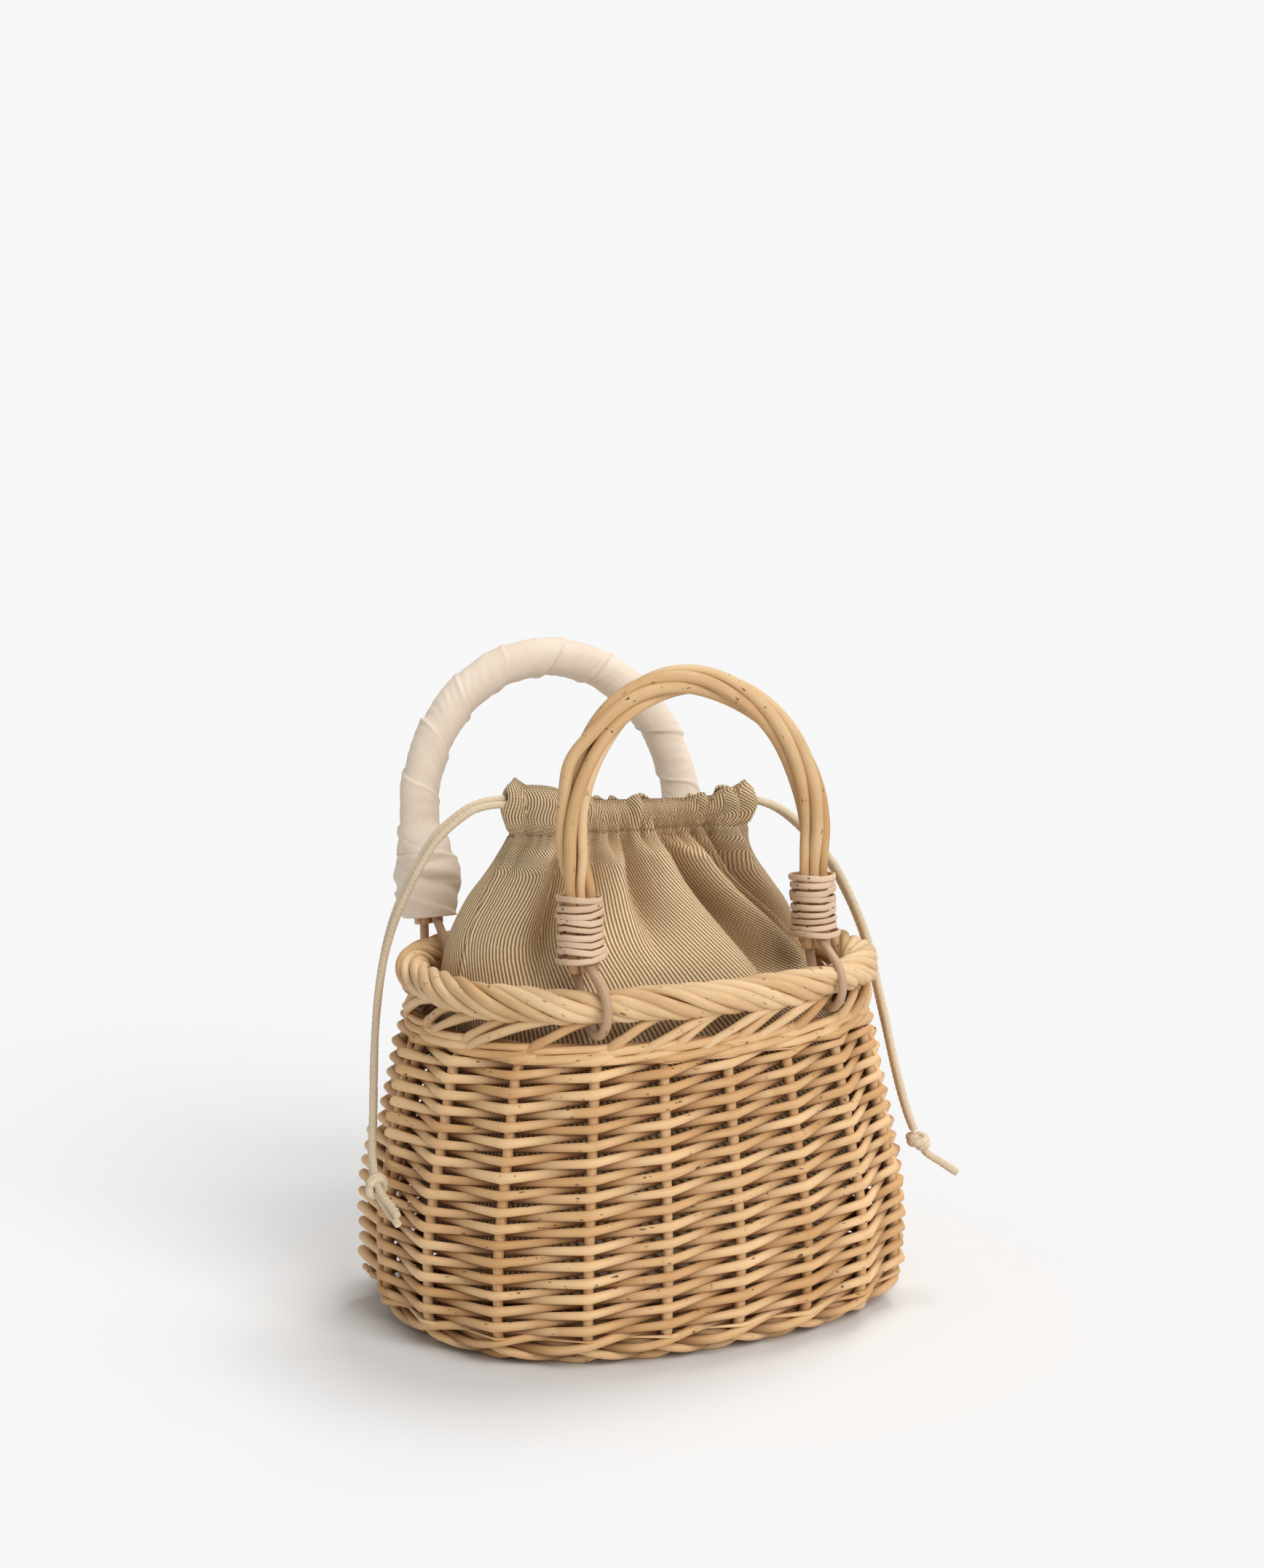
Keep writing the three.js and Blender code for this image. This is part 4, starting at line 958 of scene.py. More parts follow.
# The light and dark colours of each cotton, its threads in radians per metre, and their height
cottons = {
    "wrapCloth": ((0.88, 0.76, 0.63), (0.80, 0.66, 0.51), 9000, 0.00005),
    "cordCotton": ((0.80, 0.67, 0.49), (0.66, 0.52, 0.35), 5200, 0.0001),
    "thread": ((0.42, 0.29, 0.16), (0.26, 0.16, 0.08), 9000, 0.00004),
}
wrapCloth, cordCotton, thread = (clothMaterial(name, *row) for name, row in cottons.items())

twillLook = {
    "pitch": 0.0015, "threadPitch": 0.62, "wobble": 0.9, "relief": 0.00035,
    # The last colour is painted shade for the hollows of the folds
    "light": (0.84, 0.665, 0.43), "dark": (0.30, 0.165, 0.065), "foldShade": (0.36, 0.20, 0.085),
}


def twillMaterial(name, look):
    # Ribs run where the first UV number is steady. Each rib is a row of short slanting threads,
    # and the hollows of its folds get a painted warm shade.
    material, tree, shader = newMaterial(name, 0.92)
    place = tree.nodes.new("ShaderNodeTexCoord")
    parts = addNode(tree, "ShaderNodeSeparateXYZ", {}, {0: place.outputs["UV"]})
    fuzz = noise(tree, place.outputs["Object"], 700.0, 3.0)
    cloud = noise(tree, place.outputs["Object"], 30.0, 3.0)
    across = mathNode(tree, "MULTIPLY", parts.outputs[0], 2 * math.pi / look["pitch"])
    across = addShare(tree, across, fuzz, look["wobble"])
    rib = stretch(tree, mathNode(tree, "SINE", across), -0.95, 0.45)
    perMetre = 2 * math.pi / (look["pitch"] * look["threadPitch"])
    threads = mathNode(tree, "MULTIPLY", parts.outputs[1], perMetre)
    threads = mathNode(tree, "SINE", addShare(tree, threads, across, 0.8))
    share = addShare(tree, mathNode(tree, "MULTIPLY", rib, 0.75), fuzz, 0.35)
    share = addShare(tree, addShare(tree, share, cloud, 0.2), threads, 0.07)
    share = stretch(tree, share, 0.25, 1.05)
    tint = blendColour(tree, share, colour(*look["dark"]), colour(*look["light"]))
    # Painted shade: the cloth is darker and warmer in the hollows of its folds
    foldShade = addNode(tree, "ShaderNodeAttribute", {"attribute_name": "foldShade"}, {}).outputs["Fac"]
    foldShadeShare = stretch(tree, foldShade, 0.10, 1.0, 0.0, 0.62)
    tint = blendColour(tree, foldShadeShare, tint, colour(*look["foldShade"]))
    tree.links.new(tint, shader.inputs["Base Color"])
    shader.inputs["Specular IOR Level"].default_value = 0.12
    height = addShare(tree, addShare(tree, rib, threads, 0.25), fuzz, 0.5)
    bump(tree, shader, height, look["relief"])
    return material


twill = twillMaterial("twill", twillLook)


# Drawstrings: the routes are those of the plain model, in metres, and the last number of each
# spot says how many cord widths apart the two strands lie
cords = {
    "diameter": 0.0028, "seen": 0.00152, "relief": 0.085,
    "left": [
        (-0.0605, 0, 0.2154, 1.08), (-0.0695, 0.0006, 0.2148, 1.1), (-0.0771, 0.002, 0.212, 1.1),
        (-0.0882, 0.006, 0.202, 1.1), (-0.094, 0.012, 0.1895, 1.15), (-0.097, 0.019, 0.1775, 1.2),
        (-0.0986, 0.027, 0.165, 1.2), (-0.0996, 0.0325, 0.154, 1.2), (-0.1004, 0.036, 0.1435, 1.2),
        (-0.1016, 0.0375, 0.132, 1.2), (-0.1032, 0.037, 0.119, 1.25), (-0.1046, 0.0356, 0.106, 1.3),
        (-0.1061, 0.033, 0.093, 1.4), (-0.1086, 0.028, 0.081, 1.35), (-0.1129, 0.019, 0.072, 1.2),
        (-0.1164, 0.0095, 0.0665, 1.1), (-0.118, 0.0035, 0.0642, 1.08),
    ],
    "right": [
        (0.0548, 0, 0.2086, 1.08), (0.0665, -0.0004, 0.2042, 1.1), (0.0762, -0.002, 0.197, 1.1),
        (0.0842, -0.005, 0.1876, 1.15), (0.0904, -0.009, 0.1778, 1.2), (0.0956, -0.0126, 0.166, 1.2),
        (0.0998, -0.015, 0.155, 1.2), (0.1028, -0.017, 0.1445, 1.2), (0.1042, -0.0204, 0.1326, 1.2),
        (0.1046, -0.025, 0.1215, 1.2), (0.1048, -0.03, 0.110, 1.2), (0.105, -0.035, 0.098, 1.2),
        (0.1058, -0.0395, 0.086, 1.2), (0.1076, -0.043, 0.075, 1.15), (0.1096, -0.045, 0.068, 1.08),
    ],
    "tails": {"left": (0.05, -0.93, -0.36), "right": (0.8, -0.14, -0.58)},
    "knot": 0.0094, "step": 0.0005,
    "tail": {"length": 0.016, "uneven": 0.0008, "sunk": 0.001, "bend": 0.42, "bendOut": 0.003,
             "asides": (0.0008, 0.0013, 0.0002, 0.0003), "steps": 60},
    "braid": {"sides": 16, "pitch": 0.0050, "yarns": 4},
    "tied": {"steps": 110, "evenSteps": 130, "turns": 2.2, "draw": 2.2, "least": 0.25, "length": 0.62,
             "lean": 0.20, "leanFrom": 0.6, "thicker": 1.08, "gap": 0.0003},
}


def strandPath(route, sign):
    rows = np.array(route)
    spots = rows[:, :3]
    ahead = np.empty_like(spots)
    ahead[1:-1] = spots[2:] - spots[:-2]
    ahead[0], ahead[-1] = spots[1] - spots[0], spots[-1] - spots[-2]
    out = spots * np.array([1, 1, 0])
    beside = unit(np.cross(unit(ahead), unit(out)))
    return spots + beside * (sign * rows[:, 3:] * cords["diameter"] / 2)


def makeBraid(name, path, radius):
    # Braided cord: the radius swells where two slanting sets of yarn cross
    braid = cords["braid"]
    lay = 2 * np.pi * np.linspace(0, pathLength(path), len(path))[:, None] / braid["pitch"]
    angle = braid["yarns"] * np.linspace(0, 2 * np.pi, braid["sides"], endpoint=False)[None]
    swell = np.sin(angle + lay) * np.sin(angle - lay)
    size = (radius * (1 + cords["relief"] * swell))[None]
    rings = sweep(path[None], np.array([0.31, 0.17, 0.93]), size, size, braid["sides"])
    return tubePiece(name, rings, "basket", cordCotton, False, 0.5, 1.0)


def knotPath(centre, ahead, side, size):
    # Two turns round the cords, leaning over, with the ends drawn in to the middle
    tied = cords["tied"]
    t = np.linspace(0, 1, tied["steps"])
    turn = 2 * np.pi * tied["turns"] * t
    reach = size * 0.5 * np.clip(np.sin(np.pi * t) * tied["draw"], tied["least"], 1)
    along = size * (tied["length"] * (t - 0.5) + tied["lean"] * np.cos(turn + tied["leanFrom"]))
    ring = np.cos(turn)[:, None] * side + np.sin(turn)[:, None] * np.cross(ahead, side)
    return centre + reach[:, None] * ring + along[:, None] * ahead


def makeDrawstrings(end):
    # The knot first, then its two tails, then the two strands that run up to the casing
    route, tied = cords[end], cords["tied"]
    last = np.array(route[-1][:3])
    ahead = unit(last - np.array(route[-2][:3]))
    centre = last + ahead * (tied["gap"] + cords["knot"] / 2)
    side = unit(np.cross(ahead, unit(last * np.array([1, 1, 0]))))
    turns = knotPath(centre, ahead, side, cords["knot"] - 2 * cords["seen"])
    lump = evenPath(turns, tied["evenSteps"])
    knot = makeBraid(f"knot_tied_{end}", lump, cords["seen"] * tied["thicker"])
    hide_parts(f"knot_{end}")
    tail, tailWay = cords["tail"], unit(np.array(cords["tails"][end]))
    for sign, word in ((-1, "a"), (1, "b")):
        asides = [side * sign * aside for aside in tail["asides"]]
        start = centre - ahead * tail["sunk"] + asides[0]
        bend = centre + ahead * cords["knot"] * tail["bend"] + tailWay * tail["bendOut"] + asides[1]
        tip = bend + tailWay * (tail["length"] + sign * tail["uneven"]) + asides[3]
        spots = [start, bend, (bend + tip) / 2 + asides[2], tip]
        makeBraid(f"tail_{end}_{word}", evenPath(spots, tail["steps"]), cords["seen"])
    for sign, word in ((-1, "front"), (1, "back")):
        points = strandPath(route, sign)
        path = evenPath(points, int(pathLength(points) / cords["step"]))
        strand = makeBraid(f"drawstring_{end}_{word}", path, cords["seen"])
        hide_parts(f"cord_{end}_{word}")
        print(f"drawstring {end} {word}: {pathLength(path):.3f} m")


makeDrawstrings("left")
makeDrawstrings("right")
print("drawstrings made")

makeWall(weave)
makeStakes(stakeRods, bentStakes, weave["inset"])
makeFoot(foot)
makeUpperWale(upperWale)
makeFloor(floorWeave)
makeBorder(border)
makeCutEnds(cutEnds)
print("basket made")

places = {name: handleFrame(row) for name, row in handles.items()}
for name, place in places.items():
    body = f"{name}_handle"
    makeRods(f"{name}_rods", place, body, body, handles[name]["loose"])
    for side in (-1, 1):
        word = "left" if (side < 0) == (name == "front") else "right"
        makeBinding(f"skein_{name}_{word}", place, side, body, f"binding_{name}_{word}", binding)
        makeLoop(f"bent_rod_{name}_{word}", place, side, body, f"loop_{name}_{word}", loop)
print("handles made")


wrap = {
    "cloth": 0.0015, "start": 0.0145, "bunchLength": 0.030, "bunch": 0.0026, "strip": 0.0235,
    "steps": 520, "sides": 64, "insideSteps": 12, "sunk": 0.0005, "inside": 0.0002,
    "lip": 0.0009, "lipShare": 0.035, "hem": 0.00035, "hemAt": 0.05, "hemShare": 0.022,
    "crease": 0.00011, "softCrease": 1.6,
    # Folds of the bunch: height above the cloth's lower end, half width, depth, slant, turn
    "folds": ((0.0110, 0.0022, 0.0020, 0.0050, 0.6), (0.0190, 0.0018, 0.0021, -0.0040, 2.2),
              (0.0270, 0.0015, 0.0014, 0.0036, 4.0), (0.0360, 0.0012, 0.0008, -0.0025, 1.0)),
}


def woundRelief(settings, run, angle):
    # Each turn lies on the last, so the cloth thins along a turn and steps up at its edge, beside
    # which a hem lies. The place in a turn is frac(run / strip + angle / 2 pi), made to waver.
    # Numbers beside run are radians a metre.
    turn = run / settings["strip"] + angle / (2 * np.pi)
    turn = turn + 0.07 * np.sin(run * 61) + 0.04 * np.sin(2 * angle + run * 90)
    layer = turn % 1.0
    edge = settings["lip"] * (1 - layer) * np.clip(layer / settings["lipShare"], 0, 1)
    hem = settings["hem"] * bell(layer - settings["hemAt"], settings["hemShare"])
    soft = np.sin(2 * np.pi * (2 * turn + 0.4 * np.sin(run * 45))) * np.sin(run * 37 + angle) ** 2
    fine = np.sin(2 * np.pi * 5 * turn + 2 * np.sin(angle * 2 + run * 60)) * np.cos(run * 53 - angle) ** 2
    return edge + hem + settings["crease"] * (settings["softCrease"] * soft + fine)


def bunchFolds(settings, fromEnd, angle):
    # Each fold is a valley that slants round the bunch, with a low ridge beside it
    total = np.zeros(np.broadcast_shapes(fromEnd.shape, angle.shape))
    for height, width, depth, slant, phase in settings["folds"]:
        away = fromEnd - height - slant * np.sin(angle + phase)
        fold = bell(away, width, 1.5) - 0.35 * bell(away - 2.2 * width, 1.5 * width)
        total = total + depth * fold * (0.6 + 0.4 * np.sin(angle * 2 + phase * 3))
    return total


def makeWrap(settings):
    # Hollow sleeve round the handle, bunched over the bindings at its two ends
    place, sizes = places["back"], handleSizes
    path = archPath(place, settings["start"], settings["steps"])
    rise = path[:, 2]
    run = np.linspace(0, pathLength(path), settings["steps"])[:, None]
    top = sizes["footRise"] + sizes["bindingLength"]
    free = ease((rise - top - sizes["fit"]) / sizes["diameter"])[:, None]
    part = np.clip((rise - settings["start"]) / settings["bunchLength"], 0, 1)[:, None]
    angle = np.linspace(0, 2 * np.pi, settings["sides"], endpoint=False)[None]
    outside = settings["cloth"] - settings["sunk"] + settings["bunch"] * np.sin(np.pi * part) ** 1.4
    outside = outside + woundRelief(settings, run, angle)
    outside = outside - bunchFolds(settings, np.minimum(run, run[-1] - run), angle)
    along, across = holeHalves()
    hug = sizes["bindingWall"] + sizes["fit"]
    rounded = sizes["diameter"] / 2 + sizes["fit"]
    coreAlong = (along + hug) * (1 - free) + rounded * free
    coreAcross = (across + hug) * (1 - free) + rounded * free
    ahead = unit(np.gradient(path, axis=0))
    acrossWay = unit(np.cross(ahead, planeNormal(place)))
    alongWay = np.cross(acrossWay, ahead)
    square = 2 / basket["power"] * (1 - free) + free
    c, s = signedPower(np.cos(angle), square), signedPower(np.sin(angle), square)

    def shell(extra):
        out = ((coreAlong + extra) * c)[..., None] * alongWay[:, None]
        return path[:, None] + out + ((coreAcross + extra) * s)[..., None] * acrossWay[:, None]

    inner = shell(settings["inside"])[::-1][::settings["insideSteps"]]
    rings = toBag(place, np.concatenate([shell(outside), inner]))[None]
    piece = tubePiece("wound_cloth", rings, "back_handle", wrapCloth, True, 0.5, 1.0)
    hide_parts("handle_wrap")
    return piece


wound = makeWrap(wrap)
print("wrap made")


pouch = {
    "height": 0.212, "cloth": 0.0015, "lip": 0.004, "floor": 0.0086, "columns": 620,
    "seam": 0.916, "middle": 0.64, "slit": 0.0034, "room": 0.0075,
    "rises": [0, 0.04, 0.16, 0.36, 0.52, 0.65, 0.72, 0.8, 0.87, 0.92, 1],
    "lengths": [0.734, 0.950, 1.069, 1.058, 1.004, 0.970, 0.905, 0.770, 0.680, 0.650, 0.672],
    "depths": [0.718, 0.888, 0.945, 0.945, 0.888, 0.765, 0.650, 0.520, 0.350, 0.160, 0.142],
    "shifts": [0, 0, 0, 0, 0, -0.011, -0.032, -0.070, -0.059, -0.032, -0.029],
    # Valleys: place round at the casing and at the border (0 is the front's middle, 0.25 the
    # right end), width, depth, and the rise at which each fades out
    "valleys": [
        (-0.215, -0.225, 0.0022, 0.0018, 0.80), (-0.137, -0.158, 0.0034, 0.0056, 0.56),
        (-0.108, -0.112, 0.0020, 0.0040, 0.84), (-0.080, -0.088, 0.0026, 0.0050, 0.70),
        (-0.052, -0.053, 0.0018, 0.0046, 0.86), (-0.023, -0.030, 0.0028, 0.0072, 0.66),
        (0.010, 0.012, 0.0018, 0.0046, 0.87), (0.046, 0.090, 0.0030, 0.0076, 0.50),
        (0.066, 0.074, 0.0016, 0.0042, 0.88), (0.086, 0.1, 0.0018, 0.0052, 0.86),
        (0.113, 0.168, 0.0030, 0.0072, 0.48), (0.148, 0.212, 0.0026, 0.0064, 0.52),
        (0.212, 0.232, 0.0022, 0.0026, 0.78), (0.288, 0.275, 0.0024, 0.0030, 0.72),
        (0.335, 0.305, 0.0030, 0.0064, 0.56), (0.366, 0.350, 0.0018, 0.0048, 0.86),
        (0.394, 0.378, 0.0028, 0.0070, 0.60), (0.424, 0.415, 0.0018, 0.0048, 0.87),
        (0.452, 0.447, 0.0030, 0.0074, 0.56), (0.486, 0.486, 0.0020, 0.0050, 0.86),
        (0.516, 0.522, 0.0028, 0.0070, 0.62), (0.548, 0.560, 0.0018, 0.0048, 0.87),
        (0.580, 0.602, 0.0030, 0.0072, 0.54), (0.612, 0.625, 0.0018, 0.0046, 0.86),
        (0.648, 0.672, 0.0028, 0.0060, 0.60), (0.700, 0.712, 0.0022, 0.0026, 0.78),
    ],
    "sideSeams": (-0.236, 0.262), "eyeletRise": 0.9755, "eyeletsAt": (-0.25, 0.25),
    # Rows of the mesh: from a rise to a rise, and how many
    "outsideRows": ((0, 0.6, 14), (0.6, 0.9, 44), (0.9, 1, 34)),
    "insideRows": ((1, 0.86, 14), (0.86, 0.02, 16)), "topRows": 5, "round": 0.0012,
    # How many times its width a valley spreads at the casing, and below it, on its two sides. The painted
    # shade in the folds is full at the given valley depths, and the casing gets less of it.
    "spread": (1.25, 1.65), "leftSide": 0.75, "rightSide": 1.75, "deepen": (1.30, 5.2),
    "foldShadeDepth": (0.0105, 0.0050), "lobeDepth": 0.006, "casingPaler": 0.35,
    "puff": 0.0036, "tuck": 0.0030, "stitched": 0.0008, "gather": 0.0004, "gathers": 61,
    "broad": 0.0013, "bulge": 0.0034, "dent": 0.0028, "dentWidth": 0.0019,
    # Two low waves beside each side seam: height, place beside the seam, width
    "welts": ((0.0009, 0.0008, 0.0011), (-0.0008, -0.0014, 0.0009)),
    # How far the cloth hangs below an even height, in the middle and more towards the right end
    "slump": (0.0029, 0.0017), "casingSlump": (0.0030, 0.0022),
}


def evenOval(around, length, depth):
    # Angles that cut each row's oval into equal lengths, counted from the front's middle
    fine = np.linspace(-1.5 * np.pi, 0.5 * np.pi, 721)
    plan = oval(fine[None], length, depth)[0]
    run = np.cumsum(np.linalg.norm(np.diff(plan, axis=1, prepend=plan[:, :1]), axis=-1), axis=1)
    angles = [np.interp((row + 0.5) % 1.0 * whole[-1], whole, fine) for row, whole in zip(around, run)]
    return np.stack(angles), run[:, -1:]


def turnFrom(around, spot):
    # Share of a turn from a spot, between -0.5 and 0.5
    return (around - spot + 0.5) % 1.0 - 0.5


def drawnIn(around, whole, level, below, casing):
    # Valleys that run down from the casing, each depth * exp(-|distance / width| ^ 1.3), steeper
    # on its left, and wider and deeper the lower it runs
    total = np.zeros(around.shape)
    seam = pouch["seam"]
    for index, (top, low, width, depth, fades) in enumerate(pouch["valleys"]):
        sway = 0.010 * math.sin(2.4 * index) * casing
        away = turnFrom(around, top + (low - top) * below + sway)
        strength = ease((level - fades) / (seam - 0.01 - fades))
        spread = width * (pouch["spread"][0] + pouch["spread"][1] * below)
        spread = spread * np.where(away < 0, pouch["leftSide"], pouch["rightSide"])
        deep = depth * (pouch["deepen"][0] + pouch["deepen"][1] * below)
        total = total + deep * strength * bell(away * whole, spread, 1.3)
    return total


def sewnRelief(around, whole, level):
    # What the sewing does: the casing's stitched groove with its small gathers, the side seams
    # below it, and a dent at each eyelet
    seam = pouch["seam"]
    gather = np.sin(2 * np.pi * around * pouch["gathers"] + 3 * np.sin(around * 40))
    relief = pouch["gather"] * bell(level - seam, 0.035) * gather
    relief = relief - pouch["stitched"] * bell(level - seam, 0.0042)
    for spot in pouch["sideSeams"]:
        for height, beside, width in pouch["welts"]:
            away = turnFrom(around, spot) * whole - beside
            relief = relief + height * bell(away, width) * (level < seam)
    for spot in pouch["eyeletsAt"]:
        aside = turnFrom(around, spot) * whole
        reach = np.hypot(aside, (level - pouch["eyeletRise"]) * pouch["height"])
        relief = relief - pouch["dent"] * bell(reach, pouch["dentWidth"], 4)
    return relief


def pouchSurface(rise, around, inward):
    # The oval at each rise, drawn in by its valleys and swelling out a little between them
    openLength, openDepth = rimLength - pouch["room"], rimDepth - pouch["room"]
    rise, around = np.broadcast_arrays(rise[:, None], around)
    level = rise[:, :1]
    length = smoothAlong(pouch["rises"], pouch["lengths"], level) * openLength
    depth = smoothAlong(pouch["rises"], pouch["depths"], level) * openDepth
    shift = smoothAlong(pouch["rises"], pouch["shifts"], level) * openLength
    angle, whole = evenOval(around, length, depth)
    plan, normal = oval(angle, length - inward, depth - inward)
    seam = pouch["seam"]
    below = np.clip((seam - level) / (seam - pouch["middle"]), 0, 1)
    casing = np.clip((level - seam) / (1 - seam), 0, 1)
    drawn = drawnIn(around, whole, level, below, casing)
    # The share of painted shade in the folds: full where a valley is deep, less on the casing
    deepest = pouch["foldShadeDepth"][0] + pouch["foldShadeDepth"][1] * below
    foldShade = np.clip(drawn / deepest, 0, 1) * (1 - pouch["casingPaler"] * casing)
    lobe = 1 - np.clip(drawn / pouch["lobeDepth"], 0, 1)
    drawn = np.minimum(drawn, depth - inward - pouch["slit"])
    puff = pouch["puff"] * np.sin(np.pi * casing) ** 0.8 * (0.25 + 0.75 * lobe)
    puff = puff - pouch["tuck"] * casing**5
    # Broad slow waves, between the rises 0.45 and 0.93 only
    swell = np.clip((level - 0.45) / 0.2, 0, 1) * np.clip((0.93 - level) / 0.2, 0, 1)
    broad = np.sin(2 * np.pi * 7 * around + 9 * (level - 0.6))
    broad = broad + 0.6 * np.sin(2 * np.pi * 4 * around - 13 * level)
    notEnds = 1 - np.abs(np.cos(angle)) ** 12
    bulge = pouch["bulge"] * lobe * bell(level - seam + 0.05, 0.035) * notEnds
    outwards = pouch["broad"] * swell * broad + puff + bulge - drawn
    outwards = outwards + sewnRelief(around, whole, level)
    plan = plan + normal * outwards[..., None]
    lift = pouch["lip"] * casing * np.abs(np.cos(angle)) ** (6 / basket["power"])
    lift = lift + casing * (0.0012 * lobe - 0.0036 * (1 - lobe))
    even, right = pouch["slump"]
    slump = np.clip((level - 0.80) / 0.12, 0, 1) * (even + right * np.cos(angle))
    even, right = pouch["casingSlump"]
    slump = slump + casing * (even + right * np.cos(angle))
    height = pouch["floor"] + rise * pouch["height"] + lift - slump
    return lifted(np.stack([plan[..., 0] + shift, plan[..., 1]], -1), height), foldShade


def makePouch():
    # Outside from the floor up, over the rounded top, and down the inside
    outside = np.concatenate([
        np.linspace(low, high, count, endpoint=high == 1) for low, high, count in pouch["outsideRows"]
    ])
    first, second = (np.linspace(*row) for row in pouch["insideRows"])
    inside = np.concatenate([first, second[1:]])
    around = np.linspace(-0.5, 0.5, pouch["columns"], endpoint=False)[None]
    outer, outerFoldShade = pouchSurface(outside, around, 0.0)
    inner, innerFoldShade = pouchSurface(inside, around, pouch["cloth"] * 1.6)
    over = np.linspace(0, np.pi, pouch["topRows"] + 2)[1:-1][:, None, None]
    foldShade = np.concatenate([outerFoldShade, outerFoldShade[-1:] + 0 * over[..., 0], innerFoldShade])
    top = (outer[-1] + inner[0]) / 2 + (outer[-1] - inner[0]) / 2 * np.cos(over)
    top = top + np.array([0, 0, pouch["round"]]) * np.sin(over)
    shell = np.concatenate([outer, top, inner])
    rows, columns = shell.shape[:2]
    quads, spots = gridQuads(rows, columns, False, True)
    if signedVolume(shell.reshape(-1, 3), quads) < 0:
        quads, spots = quads[:, ::-1], spots[:, ::-1]
    ends = np.arange(columns)
    caps = np.stack([ends[::-1], ends + (rows - 1) * columns])
    closedRows = np.concatenate([shell, shell[:, :1]], 1)
    steps = np.linalg.norm(np.diff(closedRows, axis=1), axis=-1)
    u = np.concatenate([np.zeros((rows, 1)), np.cumsum(steps, axis=1)], 1)
    u = u - u[:, columns // 2][:, None]
    down = np.r_[0, np.cumsum(np.linalg.norm(np.diff(shell, axis=0), axis=-1).mean(axis=1))]
    v = (down - np.interp(0.8, outside, down[: len(outside)]))[:, None]
    # The ribs stand upright at the left and lean over towards the right
    slant = ease((u + 0.11) / 0.24) * 0.95
    ribs = (u + slant * v) / np.sqrt(1 + 0.6 * slant**2)
    corner = spots[..., 0], spots[..., 1]
    uv = np.stack([ribs[corner], (v + 0 * u)[corner]], -1)
    mesh = makeMesh("pouch_cloth", shell.reshape(-1, 3), quads, caps, uv, {"foldShade": foldShade})
    piece = addPiece("pouch_cloth", mesh, "basket", twill)
    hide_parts("pouch")
    return piece


stitches = {"count": 120, "steps": 6, "share": 0.0052, "lift": 0.0004, "radius": 0.00024, "sides": 6}


def makeStitches(settings):
    # Short threads along the casing's seam, a stitch and then a gap
    count, steps = settings["count"], settings["steps"]
    start = (np.arange(count) / count - 0.5)[:, None]
    around = (start + np.linspace(0, settings["share"], steps)[None]).reshape(1, -1)
    seam = pouchSurface(np.array([pouch["seam"], pouch["seam"] + 0.004]), around, 0.0)[0]
    paths = seam[0].reshape(count, steps, 3)
    out = paths * np.array([1, 1, 0])
    lift = np.sin(np.linspace(0, np.pi, steps)) * settings["lift"]
    normal = unit(np.cross(np.gradient(paths, axis=1), np.array([0, 0, 1.0])))
    normal = normal * np.sign((normal * out).sum(axis=-1, keepdims=True))
    paths = paths + normal * lift[None, :, None]
    radius = settings["radius"]
    rings = sweep(paths, np.array([0, 0, 1.0]), radius, radius, settings["sides"])
    tubePiece("casing_stitches", rings, "basket", thread, False, 0.5, 1.0)


eyelets = {"inwards": 0.0022, "across": 0.0027, "up": 0.0021, "flat": 0.0005, "wide": 0.0006, "steps": 28}


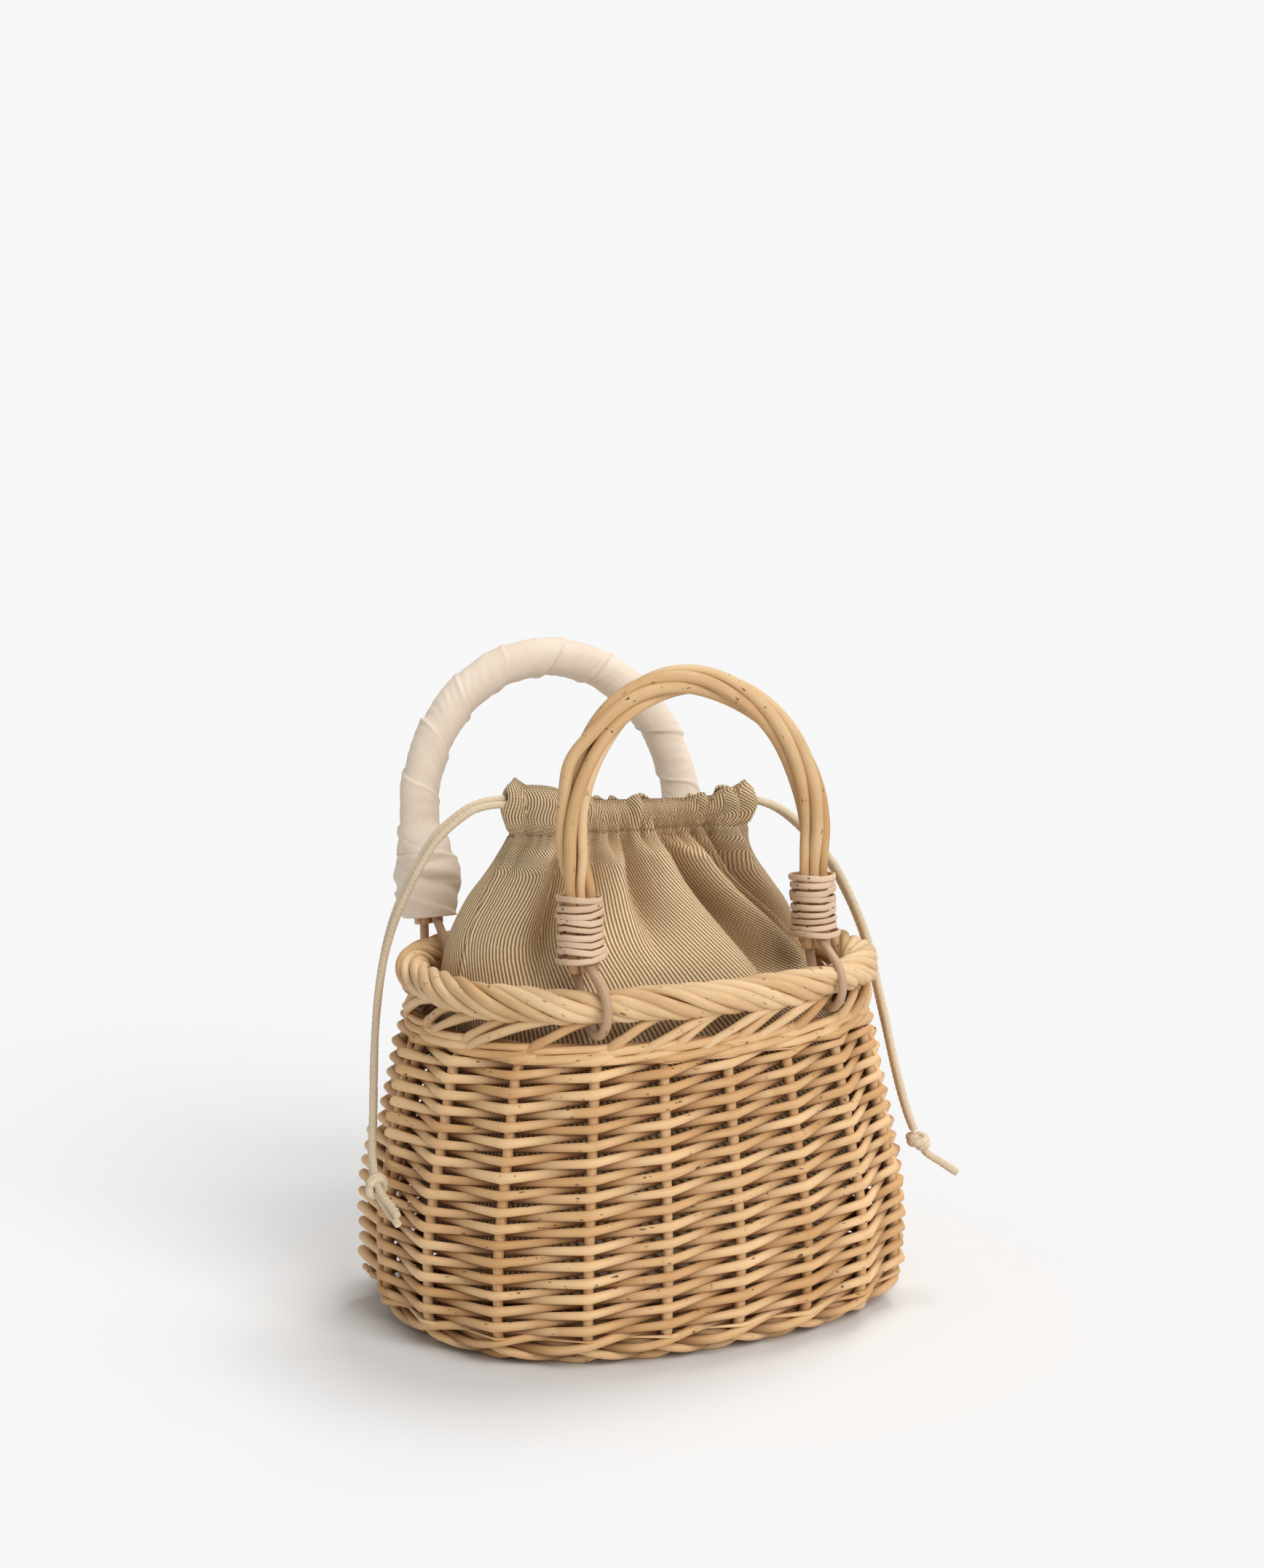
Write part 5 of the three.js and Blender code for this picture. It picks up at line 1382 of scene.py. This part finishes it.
def makeEyelets(settings):
    # Rings of brown thread where the drawstrings leave the casing
    turn = np.linspace(0, 2 * np.pi, settings["steps"], endpoint=False)
    spots = np.array([cords[end][0][:3] for end in ("left", "right")])
    spots = spots + settings["inwards"] * np.array([[1, 0, 0], [-1, 0, 0]])
    rings = [0 * turn, settings["across"] * np.cos(turn), settings["up"] * np.sin(turn)]
    paths = spots[:, None] + np.stack(rings, -1)[None]
    tubes = sweep(paths, np.array([1.0, 0, 0]), settings["flat"], settings["wide"], 8, True)
    tubePiece("eyelets", tubes, "basket", thread, True, 0.5, 1.0)


bag = makePouch()
makeStitches(stitches)
makeEyelets(eyelets)
print("pouch made")


# Floor, light and sky
studio = {
    "backdrop": 0.93, "sky": 0.42, "floor": 0.80, "half": 30,
    "suns": [
        {"name": "front_light", "power": 1.85, "softness": 38, "from": (0.12, -0.80, 0.62)},
        {"name": "top_light", "power": 1.35, "softness": 24, "from": (0.42, 0.22, 1.0)},
    ],
}


def makeStudio(settings):
    # The camera sees a plain pale backdrop, while the light on the bag comes from a dimmer sky
    mesh = bpy.data.meshes.new("floor")
    half = settings["half"]
    corners = [(-half, -half, 0), (half, -half, 0), (half, half, 0), (-half, half, 0)]
    mesh.from_pydata(corners, [], [(0, 1, 2, 3)])
    ground = bpy.data.objects.new("floor", mesh)
    bpy.context.scene.collection.objects.link(ground)
    material, tree, shader = newMaterial("paleFloor", 1.0)
    shader.inputs["Base Color"].default_value = colour(*[settings["floor"]] * 3)
    shader.inputs["Specular IOR Level"].default_value = 0.0
    mesh.materials.append(material)
    world = bpy.data.worlds.new("sky")
    world.use_nodes = True
    tree = world.node_tree
    seen = tree.nodes.new("ShaderNodeLightPath").outputs["Is Camera Ray"]
    inputs = {"Value": seen, "To Min": settings["sky"], "To Max": settings["backdrop"]}
    strength = addNode(tree, "ShaderNodeMapRange", {}, inputs).outputs[0]
    background = tree.nodes["Background"]
    background.inputs["Color"].default_value = colour(1, 1, 1)
    tree.links.new(strength, background.inputs["Strength"])
    bpy.context.scene.world = world
    for light in settings["suns"]:
        data = bpy.data.lights.new(light["name"], "SUN")
        data.energy = light["power"]
        data.angle = math.radians(light["softness"])
        lamp = bpy.data.objects.new(light["name"], data)
        lamp.rotation_euler = Vector(light["from"]).to_track_quat("Z", "Y").to_euler()
        bpy.context.scene.collection.objects.link(lamp)
    bpy.context.scene.view_settings.view_transform = "Standard"


makeStudio(studio)

print("scene ready")
